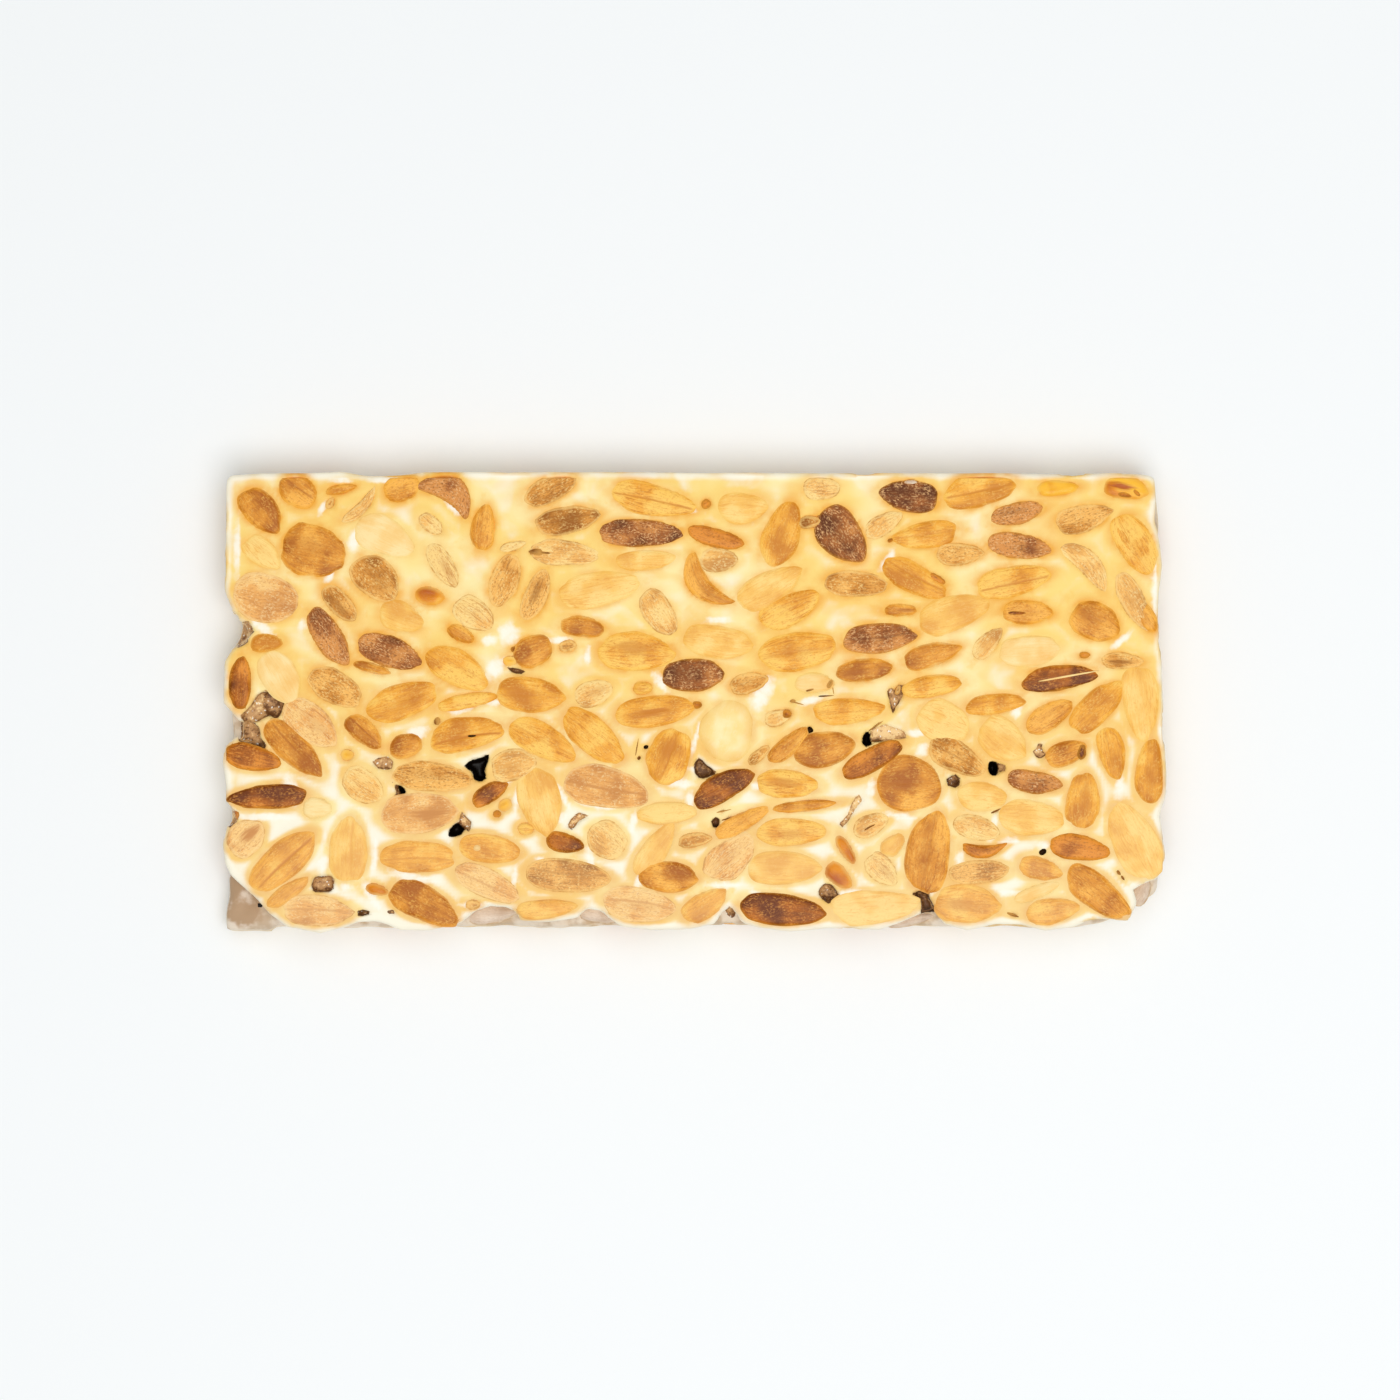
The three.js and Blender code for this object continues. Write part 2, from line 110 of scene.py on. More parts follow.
# %% Rows of dark almonds
TOP_ALMONDS = {}
TOP_ALMONDS["skin"] = [
    (641, 533, 86, 30, 0, -0.3), (842, 536, 66, 46, -52, -1.4), (909, 496, 62, 34, 172, -1.6),
    (694, 675, 64, 36, 3, -1.2, 0, 0.5), (390, 652, 70, 34, -20, 0.6), (329, 638, 66, 32, -57, 0.3),
    (1020, 546, 66, 28, -8, 1.6), (880, 638, 78, 32, 6, 0, 0.4), (1035, 782, 56, 25, -8),
    (448, 494, 62, 30, -35, 1.1), (1018, 513, 56, 24, 12, 2),
]
TOP_ALMONDS["brown"] = [
    (267, 797, 80, 27, 183, -2), (1060, 678, 76, 28, 7, -1), (873, 759, 68, 26, 28),
    (724, 787, 70, 30, 27, -1.1), (783, 910, 90, 34, -5, -1.6), (1080, 848, 62, 28, -8, 0.6),
    (565, 843, 40, 21, -15, -0.3), (490, 793, 42, 20, 30), (984, 849, 46, 14, 3, 1.2),
    (515, 649, 9, 6, 20, -1), (1082, 752, 15, 9, 80, -3.5), (1125, 495, 14, 5, -10), (1137, 493, 9, 4, -45),
    (240, 682, 54, 24, 88, -1), (253, 758, 58, 28, -12, 1.5), (697, 705, 10, 8, 0), (1017, 613, 22, 5, 0),
    (937, 579, 20, 8, -28, 1.5), (891, 540, 7, 4, 20), (1085, 655, 11, 7, 0, 1), (787, 714, 9, 8, 0),
    (497, 814, 8, 7, 0), (706, 504, 10, 9, 40, 3), (717, 538, 60, 20, -15, 0.3),
]
TOP_ALMONDS["rough"] = [
    (376, 579, 58, 42, -42, -0.3), (568, 520, 68, 30, 12, -1.4, 0.5, 0.5), (551, 489, 58, 28, 25, -0.5),
    (433, 777, 82, 32, -5, 1), (336, 688, 60, 36, -28, 0.6), (957, 757, 66, 32, -30, 0, 0.4),
    (857, 584, 66, 28, -3), (960, 554, 50, 24, 3, 0.3), (1084, 518, 60, 30, 15, 0.8),
    (505, 579, 56, 32, 68, 1), (340, 604, 48, 24, -47, -0.6, 0, 0.6), (749, 683, 42, 22, 15),
    (980, 872, 62, 26, 5), (569, 876, 88, 36, -5, 0, 0.4), (695, 840, 36, 15, 8),
    (1123, 661, 44, 18, -3, 1.2, 0, 0.8), (759, 755, 28, 12, 40), (536, 594, 56, 26, 68, 1.2, 0, 0.6),
    (473, 905, 15, 10, 0), (810, 522, 24, 14, 10, -2), (898, 690, 10, 5, 70, -3),
    (568, 646, 18, 13, 10, 1.5), (330, 503, 13, 8, 60, -1),
]
TOP_ALMONDS["amber"] = [
    (261, 511, 55, 36, -48, -0.7), (298, 491, 42, 34, -35, 0, 0.6), (313, 551, 66, 54, -15),
    (341, 489, 32, 10, 12), (402, 488, 38, 28, 15, 0.7), (483, 527, 46, 26, 85, 0.6, 0.2),
    (294, 749, 78, 34, -45, -0.5, 0.6, 0.4), (364, 732, 46, 24, -42, -0.9, 0.8),
    (1126, 541, 36, 9, -62, 0.5, 0.8), (406, 746, 34, 26, 12, -0.6), (705, 583, 66, 24, -50, 0.6, 0.3),
    (533, 651, 40, 34, 20, -0.2), (865, 670, 58, 25, 5, -0.8, 0, 0.7), (932, 655, 60, 26, 15, -1.2),
    (1096, 622, 54, 40, -25, 0.5, 0, 0.5), (909, 784, 68, 58, 0, -0.7, 0, 0.7),
    (929, 851, 84, 48, 80, 0, 0.3), (742, 822, 60, 20, 27, 0.8), (669, 877, 62, 34, -5, 0, 0, 0.6),
    (1098, 893, 76, 36, -38), (372, 668, 40, 10, -15, -1), (461, 634, 30, 16, -30, 1.2),
    (789, 745, 52, 20, 42), (805, 806, 64, 12, 6, 0.8), (424, 904, 76, 38, -27, -1.6, 0.3),
    (1050, 716, 54, 28, 30, 1), (1067, 753, 44, 26, 20), (901, 610, 34, 13, 0, 0, 0, 0.7),
    (583, 627, 46, 22, -8, -0.9), (1028, 612, 52, 26, 0, 0.6), (1147, 618, 32, 20, -58, 0.8),
    (825, 749, 66, 38, 12, -0.9),
]
print("dark almonds:", sum(len(rows) for rows in TOP_ALMONDS.values()))

# %% Rows of light almonds
TOP_ALMONDS["gold"] = [
    (654, 500, 88, 34, -12, 0.8, 0.8), (782, 533, 70, 40, 72, -0.6, 0.4, 0.4),
    (980, 490, 74, 38, 12, -0.6, 0.8), (925, 535, 68, 28, 188, -0.4, 0.2), (790, 609, 66, 34, 25, 0.8),
    (915, 579, 72, 32, -28, -0.7, 0.6), (1136, 545, 66, 40, -60, 0.6), (1014, 581, 76, 34, 12, 0.8, 0.7),
    (403, 701, 76, 38, 18, -0.6, 0, 0.4), (458, 669, 72, 38, -28, 0, 0.2),
    (531, 695, 72, 38, -5, -0.8, 0, 0.8), (467, 734, 76, 36, 10, 0, 1), (543, 741, 76, 36, -28, 0, 0.3),
    (594, 737, 78, 38, -40), (637, 652, 80, 42, -3, 0.8, 0, 0.7), (656, 711, 82, 34, 8, 0, 0, 1),
    (669, 756, 56, 46, 70, 0, 0.5, 0.9), (799, 651, 78, 42, 8, 0, 0.3), (933, 686, 60, 24, 8, 0.8),
    (849, 711, 74, 28, 3, 0, 0.3), (1098, 706, 70, 34, 45, -0.7), (996, 704, 62, 22, 8, -1, 0.2),
    (1112, 753, 56, 28, -78, 0, 0.2), (1150, 771, 66, 30, 88, -1, 0, 0.4), (284, 860, 84, 40, 43, -0.9, 1),
    (288, 892, 50, 18, 35, -0.8), (419, 857, 76, 34, 0, -0.5, 0.5), (490, 849, 62, 32, -8),
    (792, 832, 72, 30, 0, 0.8, 0, 0.5), (788, 784, 64, 30, -5, 1.6, 0, 0.7),
    (705, 905, 52, 28, 33, -0.7, 0.2), (968, 904, 68, 42, -5, 0, 0, 0.7),
    (1083, 800, 58, 36, 85, -0.6, 0, 0.5), (1041, 869, 46, 24, -15, -0.5), (1053, 911, 56, 28, 8, 0.2),
    (547, 909, 62, 20, 5), (266, 643, 34, 20, 5, -2), (468, 701, 62, 16, 10, 0.8), (643, 688, 20, 14, 0, 1),
    (526, 829, 17, 13, 0, 1.5),
]
TOP_ALMONDS["pale"] = [
    (401, 617, 48, 32, -20, -1.2), (600, 589, 84, 38, 10, 1), (743, 508, 52, 34, 0), (770, 587, 76, 34, 28),
    (646, 560, 62, 22, 3), (719, 642, 72, 36, -6), (1141, 703, 78, 38, -85), (1003, 740, 56, 42, -35),
    (944, 722, 56, 44, -25, 1.5), (348, 849, 68, 42, 88, 0, 0.7), (540, 802, 72, 46, -75),
    (655, 850, 66, 28, 55, -0.6), (668, 813, 62, 24, 3, 1.2), (785, 868, 76, 36, 0, -0.8),
    (875, 907, 90, 36, 3, 0.8), (983, 797, 52, 32, -5), (1032, 818, 66, 40, -5, 0, 0.2),
    (1134, 840, 86, 48, 118), (893, 845, 28, 20, 40, -0.8), (262, 553, 46, 28, -40, 1.5),
    (954, 613, 76, 38, 16, -0.9),
]
TOP_ALMONDS["blanched"] = [
    (266, 598, 68, 52, -12), (311, 724, 66, 40, -40, 0.8), (246, 838, 44, 36, 40, 1.2, 0, 1),
    (640, 905, 76, 38, -8, 0.8, 0.6), (731, 857, 60, 40, 42, 1), (420, 813, 80, 44, 5, -1, 0, 1),
    (488, 884, 74, 30, -25, 0.3, 0.5), (318, 911, 74, 34, -3, 0, 0.5), (607, 788, 90, 44, -10, -0.6, 0.8),
]
TOP_ALMONDS["split"] = [
    (360, 506, 50, 12, 46), (565, 553, 72, 27, -5), (443, 566, 52, 24, -58, 2.5, 0, 0.5),
    (431, 524, 30, 17, -38, 0.8), (474, 614, 46, 32, -35, 1), (719, 560, 40, 26, 0, -0.8),
    (659, 613, 52, 32, -55), (822, 488, 38, 26, 0), (884, 524, 44, 22, 30), (1087, 566, 66, 24, -48),
    (1134, 602, 66, 26, -62, -0.7), (514, 765, 48, 34, 12, -0.6), (594, 693, 40, 28, 20),
    (777, 718, 26, 18, 15), (988, 643, 42, 20, 48, -0.7), (363, 786, 46, 34, -35), (607, 840, 42, 38, -40),
    (871, 825, 38, 24, 25), (977, 828, 50, 26, -15, 1), (513, 546, 28, 10, 15, 2),
    (882, 870, 40, 28, -45, 1),
]
TOP_ALMONDS["veiled"] = [
    (1069, 676, 60, 2, 10), (385, 537, 66, 40, -25), (280, 678, 60, 40, -60), (815, 683, 40, 22, 0, -0.8),
    (317, 808, 30, 22, 0, 1), (1037, 892, 50, 14, 20), (1031, 651, 62, 34, 5),
]
TOP_ALMONDS["cream"] = [(727, 731, 62, 56, 75, -1), (477, 848, 7, 6, 0, 2)]
# A pale spot painted as a glint of light on the almond under it.
TOP_ALMONDS["painted_light_and_grime"] = [(911, 482, 13, 4, 0, 1.2)]
TOP_ALMONDS["honey"] = [
    (430, 596, 30, 20, -10, -1.5), (1058, 488, 44, 16, 3, 2), (377, 890, 24, 12, -15),
    (846, 850, 34, 12, -58, -1), (839, 876, 34, 20, -45, -0.4), (347, 755, 13, 11, 0, 3),
    (510, 661, 14, 10, 0, 2.5), (505, 805, 14, 12, 30, 1.5), (1127, 488, 46, 25, -8, 0, 0, 1),
]
# Small cracks and pin holes: some are brown lines of their own, and the darkest are painted shade inside them.
TOP_ALMONDS["crack_lines_and_shade"] = [
    (646, 747, 5, 4, 20, -3), (639, 758, 4, 3, 60, -1), (637, 747, 18, 1.3, 80, 1), (810, 730, 7, 6, 0, -4),
    (1043, 852, 8, 6, 30, -4), (437, 721, 8, 6, 80, 2), (1119, 873, 6, 3, -50), (1123, 878, 6, 2, -55),
    (996, 811, 11, 2, 25), (1013, 915, 13, 3, -20, 1), (826, 696, 16, 1.7, 3), (833, 689, 11, 1.3, -80, 1),
    (830, 684, 9, 5, 60, 1.5), (810, 690, 8, 2, 15), (797, 703, 15, 1.5, -15, 1), (793, 701, 6, 3, 0, 1),
    (472, 736, 9, 2.2, 2, -3), (870, 827, 12, 2, 28, -1), (876, 726, 18, 1.6, 35, 1),
    (877, 741, 12, 1.8, 3, -1), (724, 811, 15, 1.4, 12, 1), (727, 819, 12, 1.4, 14, 1),
    (536, 552, 14, 7, 175, 0.5), (546, 553, 13, 2.4, -3, -1),
]
print("almonds and drops in the top face:", sum(len(rows) for rows in TOP_ALMONDS.values()))

# %% [markdown]
# ## The edge and the gaps
#
# The candy didn't fill the frame everywhere. Along the front its top edge has small bays, where a lower ledge
# of the bar shows. At the left front corner the candy ran out low over the ledge, on the left one bay is open
# right through the bar, and the right front corner of the ledge broke off. In a few places between the almonds
# the candy left a hole. All of these are read one by one, because they are accidents of this bar. A hole takes
# its shape from the almonds round it, so it is written as the corners of its mouth.

# %% Marks of the edge, the ledge and the gaps
TOP_EDGE = [
    (228, 484), (229, 479), (232, 477), (262, 475), (300, 475), (340, 474), (366, 478), (396, 477),
    (425, 474), (520, 474), (620, 474), (720, 475), (800, 475), (890, 475), (980, 475), (1060, 476),
    (1110, 475), (1148, 477), (1153, 479), (1154, 484), (1155, 500), (1153, 520), (1158, 545), (1161, 565),
    (1157, 590), (1156, 620), (1160, 655), (1161, 690), (1163, 740), (1165, 775), (1164, 795), (1158, 815),
    (1161, 835), (1164, 856), (1157, 877), (1142, 882), (1131, 889), (1135, 903), (1128, 919), (1106, 917),
    (1090, 918), (1074, 925), (1045, 929), (1022, 923), (996, 922), (968, 928), (946, 922), (935, 909),
    (916, 914), (900, 921), (880, 928), (830, 926), (790, 930), (760, 926), (743, 921), (737, 911),
    (729, 906), (721, 911), (714, 922), (690, 927), (650, 928), (622, 925), (610, 917), (602, 909),
    (586, 907), (576, 916), (545, 920), (522, 919), (516, 910), (505, 905), (490, 904), (474, 909),
    (460, 921), (430, 928), (400, 928), (386, 922), (374, 919), (357, 920), (345, 925), (320, 931),
    (288, 925), (270, 912), (256, 896), (243, 884), (232, 874), (226, 862), (224, 845), (228, 830),
    (233, 812), (226, 800), (228, 788), (224, 762), (227, 746), (241, 736), (242, 720), (225, 702),
    (226, 662), (236, 647), (248, 636), (246, 626), (234, 612), (226, 590), (227, 545),
]
# Almonds on the ledge; their sort greys them with painted shade.
LEDGE_ALMONDS = [
    (490, 915, 54, 22, 4), (598, 916, 40, 20, -12), (912, 921, 50, 14, 10), (1143, 893, 32, 22, 60),
]
# Each gap: its depth in mm, how dark it is (its own brown, with painted shade over it; 1 is black painted
# shade), and the marks of the corners of its mouth.
GAPS = [
    (3.2, 0.4, [(242, 622), (248, 621), (254, 631), (247, 638), (248, 643), (236, 648), (234, 636),
        (238, 625)]),
    (2.6, 0.5, [(265, 692), (272, 691), (284, 701), (281, 713), (276, 719), (264, 713), (260, 703)]),
    (1.8, 0.24, [(240, 716), (250, 706), (257, 695), (265, 690), (262, 706), (268, 716), (256, 722),
        (244, 724)]),
    (3.2, 0.42, [(238, 722), (252, 721), (259, 728), (260, 738), (266, 745), (263, 751), (252, 744),
        (238, 741)]),
    (1, 0.25, [(372, 762), (380, 757), (388, 757), (393, 762), (391, 770), (378, 769)]),
    (1.6, 0.6, [(506, 667), (515, 668), (525, 671), (523, 674), (513, 673)]),
    (6, 1, [(469, 761), (480, 758), (489, 754), (487, 764), (484, 771), (487, 778), (480, 782), (474, 780),
        (472, 772), (464, 766)]),
    (5, 1, [(396, 784), (404, 788), (406, 793), (401, 796), (398, 790)]),
    (1, 0.36, [(392, 782), (397, 785), (399, 795), (393, 800), (396, 791)]),
    (5, 1, [(449, 830), (453, 825), (457, 823), (465, 829), (461, 835), (455, 837), (448, 837)]),
    (1.8, 0.3, [(461, 811), (466, 817), (471, 822), (470, 832), (464, 829), (459, 822)]),
    (3, 0.56, [(699, 757), (705, 764), (717, 773), (708, 777), (700, 779), (695, 773), (694, 765)]),
    (5, 1, [(867, 730), (871, 734), (870, 740), (873, 744), (866, 747), (862, 743), (863, 737)]),
    (0.9, 0.12, [(872, 729), (884, 724), (904, 731), (908, 738), (880, 741), (871, 741)]),
    (3, 0.5, [(947, 779), (955, 774), (960, 778), (960, 785), (956, 788), (948, 786)]),
    (5.5, 1, [(990, 761), (997, 762), (999, 770), (997, 776), (991, 775), (988, 769)]),
    (1.2, 0.28, [(998, 762), (1006, 766), (1006, 771), (998, 772)]),
    (0.8, 0.3, [(1031, 750), (1036, 750), (1039, 743), (1043, 743), (1042, 750), (1047, 754), (1041, 760),
        (1036, 756)]),
    (2.4, 0.34, [(314, 877), (330, 876), (334, 880), (333, 889), (329, 892), (313, 892), (311, 885)]),
    (2.8, 0.44, [(820, 888), (826, 883), (832, 885), (840, 896), (829, 904), (822, 899), (818, 893)]),
    (3.8, 0.72, [(912, 894), (920, 891), (928, 893), (931, 900), (937, 913), (921, 914), (922, 903),
        (918, 898)]),
    (1.4, 0.26, [(567, 827), (571, 819), (578, 813), (589, 815), (578, 822), (572, 830)]),
    (2, 0.7, [(711, 822), (715, 817), (720, 819), (718, 828), (713, 827)]),
    (2.2, 0.6, [(357, 910), (369, 911), (371, 914), (358, 917)]),
    (2.2, 0.5, [(387, 911), (393, 910), (395, 914), (388, 914)]),
    (2.4, 0.4, [(725, 912), (730, 906), (736, 914), (734, 920), (728, 917)]),
    (0.8, 0.12, [(848, 815), (852, 803), (858, 794), (863, 800), (856, 808), (849, 820), (843, 828),
        (839, 824)]),
    (0.9, 0.42, [(887, 691), (891, 687), (895, 691), (900, 683), (905, 687), (902, 698), (897, 706),
        (893, 714), (890, 703)]),
    (2.2, 0.45, [(227, 811), (236, 813), (236, 826), (228, 828)]),
]
# The front right corner of the ledge broke off along the line between these two marks.
BROKEN_CORNER = [(1165, 893), (1130, 911)]
# In the front left corner the candy ran a little further out, at a lower level than the ledge.
CORNER_RUN = [(228, 880), (240, 880), (264, 908), (266, 929), (226, 929), (226, 912), (228, 896)]
CORNER_RUN_DROP = 0.8
# In one place on the left the frame wasn't filled right through the bar.
OPEN_BAY = [(215, 614), (236, 614), (239, 626), (236, 640), (228, 650), (215, 650)]
# Crumbs and grime on the ledge: mark of the middle, length and width in marks, turn, and how dark.
# From DEEP_PIT up it is painted as the black shade of a pit, and below that it is grime.
DEEP_PIT = 0.6
CRUMBS = [
    (238, 906, 48, 40, -80, 0.36), (231, 885, 36, 18, 90, 0.4), (258, 906, 9, 8, 0, 0.95),
    (255, 917, 18, 12, -60, 0.15), (240, 913, 14, 9, -60, 0.5),
]
# Each spot of white foam with a painted highlight: mark of its middle (along, down), length and width in marks,
# and turn.
FOAM_AND_HIGHLIGHT_SPOTS = [
    (237, 545, 54, 6, 90), (354, 540, 20, 12, 80), (322, 508, 14, 6, 60), (453, 507, 22, 8, -50),
    (342, 480, 24, 5, 0), (385, 480, 30, 6, 0), (302, 625, 14, 7, 80), (508, 633, 20, 20, 0),
    (490, 641, 14, 10, 0), (263, 628, 30, 9, -40), (495, 668, 22, 16, 60), (660, 682, 22, 9, -55),
    (588, 655, 16, 6, 90), (417, 733, 22, 14, 20), (493, 702, 18, 6, 0), (460, 711, 22, 6, 10),
    (613, 773, 36, 6, -25), (680, 783, 26, 10, -10), (563, 797, 26, 6, -60), (517, 797, 26, 7, 80),
    (563, 818, 14, 8, 60), (597, 806, 40, 5, -10), (505, 781, 12, 8, 0), (633, 822, 20, 7, 80),
    (917, 733, 18, 8, 0), (922, 750, 14, 10, 60), (871, 788, 16, 9, 80), (900, 816, 30, 6, -10),
    (1017, 712, 14, 8, 60), (1120, 787, 22, 10, 80), (993, 828, 26, 9, 80), (1043, 845, 12, 9, 0),
    (960, 858, 14, 7, 80), (1010, 841, 22, 6, 0), (265, 817, 66, 7, 0), (323, 863, 16, 11, 80),
    (375, 855, 36, 6, 85), (412, 877, 46, 8, -12), (425, 893, 26, 6, -35), (347, 888, 12, 8, 0),
    (515, 875, 20, 6, 80), (372, 897, 34, 9, -60), (763, 693, 34, 18, 60), (696, 738, 32, 5, 75),
    (700, 772, 24, 6, -20), (690, 800, 8, 20, 0), (760, 786, 16, 8, 0), (812, 700, 26, 7, 15),
    (842, 742, 16, 6, 40), (1155, 590, 50, 5, 90), (640, 880, 14, 8, 60), (725, 885, 30, 7, 0),
    (760, 895, 26, 6, -20), (850, 893, 26, 7, 10), (935, 885, 20, 7, 60), (1010, 893, 24, 6, 0),
    (888, 560, 24, 8, 60), (720, 620, 26, 6, 0), (560, 640, 22, 7, 0), (330, 575, 16, 7, 60),
    (232, 725, 14, 8, 0), (290, 790, 14, 30, 20), (470, 905, 20, 6, 0), (590, 860, 8, 24, 10),
    (545, 862, 22, 6, -20), (1122, 640, 24, 7, 40), (1160, 870, 14, 6, 60), (690, 510, 14, 6, 0),
]
print(len(TOP_EDGE), "marks round the edge,", len(GAPS), "gaps and", len(FOAM_AND_HIGHLIGHT_SPOTS), "gleams")

# %% [markdown]
# ## Beds for the almonds
#
# An almond is placed by a small frame of its own: a middle, and the directions along it, across it and out
# of the bar. The same record then serves three jobs. The candy is dented where the almond sits, it is tinted
# warm round it, and the almond's mesh is built in it. Two measures come first: how far a point lies from an
# outline of corners, and where it lies in a bed.

# %% Distances to outlines and places in a bed
def outline_distance(x, y, corners):
    """Distance from points in the plane to a closed outline, below zero inside it."""
    nearest = np.full(np.shape(x), 1e9)
    inside = np.zeros(np.shape(x), dtype=bool)
    for (x0, y0), (x1, y1) in zip(corners, np.roll(corners, -1, axis=0)):
        run = np.array([x1 - x0, y1 - y0])
        share = np.clip(((x - x0) * run[0] + (y - y0) * run[1]) / (run @ run), 0, 1)
        nearest = np.minimum(nearest, np.hypot(x - x0 - share * run[0], y - y0 - share * run[1]))
        crosses = (y0 > y) != (y1 > y)
        with np.errstate(divide="ignore", invalid="ignore"):
            inside = inside ^ (crosses & (x < x0 + (y - y0) / (y1 - y0) * run[0]))
    return np.where(inside, -nearest, nearest)


def from_marks(x, y, marks):
    """Distance to an outline that is written as marks."""
    return outline_distance(x, y, np.array([place(*mark) for mark in marks]))


ALMOND_TAPER = 0.34
FULL_WIDTH_BEHIND = 0.15  # a row's width is met this share of the length behind the middle


def taper(length, width):
    """How much an almond narrows towards its tip: the rounder it is, the less."""
    return ALMOND_TAPER * float(ease(length / width, 1.0, 1.5))


def in_bed(points, bed):
    """How far points lie out of a bed, and their distance from its middle in outlines."""
    offset = points - bed["middle"]
    along, across, out = offset @ bed["along"], offset @ bed["across"], offset @ bed["out"]
    u = 2 * along / bed["length"]
    across = across - bed.get("bent", 0) * bed["width"] * (u * u - 0.4)
    slim = 1 - taper(bed["length"], bed["width"]) * (u / 2 + FULL_WIDTH_BEHIND)
    return out, np.hypot(u, 2 * across / (bed["width"] * np.clip(slim, 0.5, 1.4)))


def turned(turn, first, second):
    """The directions along and across an almond that is turned in the plane of two others."""
    angle = math.radians(turn)
    along = first * math.cos(angle) + second * math.sin(angle)
    across = second * math.cos(angle) - first * math.sin(angle)
    return along, across


print("bed helpers ready")

# %% [markdown]
# The rows of the top face come first. What is very short or narrow is a spot or a crack: it has no bed that
# the eye could see, and it is lifted a little where it lies on an almond. A few almonds are curved like a bean.

# %% Beds in the top face and on the ledge
edge = np.array([place(*mark) for mark in TOP_EDGE])
UP = np.array([0.0, 0.0, 1.0])
SPOT_LENGTH, SPOT_WIDTH = 16, 4
SPOT_LIFT = 0.3
# The marks of the curved almonds, and how far their ends bend, as a share of the width.
BENT = {(448, 494): -0.55, (705, 583): 0.6, (984, 849): 0.5, (1087, 566): -0.35, (360, 506): 0.5}


def level_bed(sort, row, level):
    """The bed of an almond in a level face."""
    mark_along, mark_down, length, width, turn, *marks = row
    along, across = turned(turn, np.array([1.0, 0, 0]), np.array([0, 1.0, 0]))
    tone, crease, core = (*marks, 0, 0, 0)[:3]
    return {
        "sort": sort, "middle": np.append(place(mark_along, mark_down), level), "along": along,
        "across": across, "out": UP, "length": length * MARK, "width": width * MARK,
        "crease": crease, "core": core, "tone": tone, "bent": BENT.get((mark_along, mark_down), 0),
        "flat": length < SPOT_LENGTH or width < SPOT_WIDTH,
    }


beds = [level_bed(sort, row, CANDY_TOP) for sort, rows in TOP_ALMONDS.items() for row in rows]
top_count = len(beds)
whole_almonds = [bed for bed in beds if not bed["flat"]]
for bed in beds:
    if bed["flat"] and min(in_bed(bed["middle"], other)[1] for other in whole_almonds) < 0.9:
        bed["middle"][2] += SPOT_LIFT
beds += [level_bed("painted_light_and_grime", row, LEDGE_HEIGHT) for row in LEDGE_ALMONDS]
level_count = len(beds)
print(top_count, "beds on top and", level_count - top_count, "on the ledge")

# %% [markdown]
# Almonds in the walls follow a rule with seeded draws, two staggered rows, because from a step away the walls
# only need to look as crowded as the top. The almonds of the upper row have to follow the wavy top edge, or
# their crowns would stick out under it, so each one asks how far the top face reaches over its whole length.

# %% Two rows of beds in the walls
WALL_SORTS = ["gold", "pale", "rough", "amber", "split", "brown", "gold", "pale", "blanched", "skin", "amber"]
WALL_ROWS = [4.2, 10.4]
WALL_END_MARGIN = 9
WALL_DOME_RISE = 1.7
EDGE_COVER = 0.3  # the candy's rounded edge hides this much of a crown
MOST_UNEVEN = 2.4  # where the edge bends more than this along an almond, no place is flush


def wall_frame(wall):
    """A wall's length, its distance from the bar's middle, and its directions along and out; 0 is the front."""
    run, reach = (BAR_LENGTH, BAR_WIDTH / 2) if wall % 2 == 0 else (BAR_WIDTH, BAR_LENGTH / 2)
    heading = np.array([[1, 0, 0], [0, 1, 0], [-1, 0, 0], [0, -1, 0]][wall], dtype=float)
    return run, reach, heading, np.cross(heading, UP)


def face_reach(foot, heading, out, reach, length):
    """How far the top face reaches out of the bar's middle line along an almond, where it reaches least."""
    steps = np.arange(reach, reach - 12, -0.2)
    reaches = []
    for aside in np.linspace(-0.45, 0.45, 5) * length:
        line = foot + aside * heading + np.outer(steps, out)
        inside = outline_distance(line[:, 0], line[:, 1], edge) < 0
        reaches.append(steps[inside.argmax()] - EDGE_COVER)
    return min(reaches) if max(reaches) - min(reaches) < MOST_UNEVEN else 0


def flush_crown(foot, heading, out, reach, length, high):
    """How far from the bar's middle the crown of a wall almond may be."""
    return min(reach - WALL_SETBACK, face_reach(foot, heading, out, reach, length) if high else reach)


def wall_bed(sort, foot, heading, out, crown, height, size, turn):
    """The bed of a wall almond, from its sort, its place along the wall, its crown, height, size and turn."""
    along, across = turned(turn, heading, UP)
    return {
        "sort": sort, "middle": foot + out * (crown - WALL_DOME_RISE) + UP * height, "along": along,
        "across": across, "out": out, "length": size[0], "width": size[1], "crease": 0.3, "core": 0,
    }


def wall_beds():
    """The beds in the four walls, walked anticlockwise round the bar from the front wall's left end."""
    draw = drawer(47)
    found = []
    for wall in range(4):
        run, reach, heading, out = wall_frame(wall)
        step_along, row = WALL_END_MARGIN, 0
        while step_along < run - WALL_END_MARGIN:
            length, width = draw(9, 17), draw(5.5, 7.6)
            turn = 34 * (2 * draw() - 1)
            height = WALL_ROWS[row] + 2 * draw() - 1
            if row == 0:  # it keeps under the top of the ledge
                width, turn, height = min(width, 6), 0.4 * turn, height - 0.6
            foot = heading * (step_along - run / 2)
            crown = flush_crown(foot, heading, out, reach, length, row) + draw(-0.2, 0.15)
            sort = WALL_SORTS[len(found) % len(WALL_SORTS)]
            found.append(wall_bed(sort, foot, heading, out, crown, height, (length, width), turn))
            step_along += draw(10.5, 14)
            row = 1 - row
    return found


beds += wall_beds()
print(len(beds) - level_count, "beds in two rows in the walls")

# %% [markdown]
# Smaller almonds then fill the free places of the walls. We throw many seeded tries and keep each that clears
# the others, which is simpler than searching for the free places. Beds that meet the broken corner, the open
# bay or a gap are taken out last, so the draws of the others don't change.

# %% Smaller beds between them
FILLER_TRIES = 1400
DEEP_INSIDE = -12  # a bed that found no flush place was put this far or more inside the bar


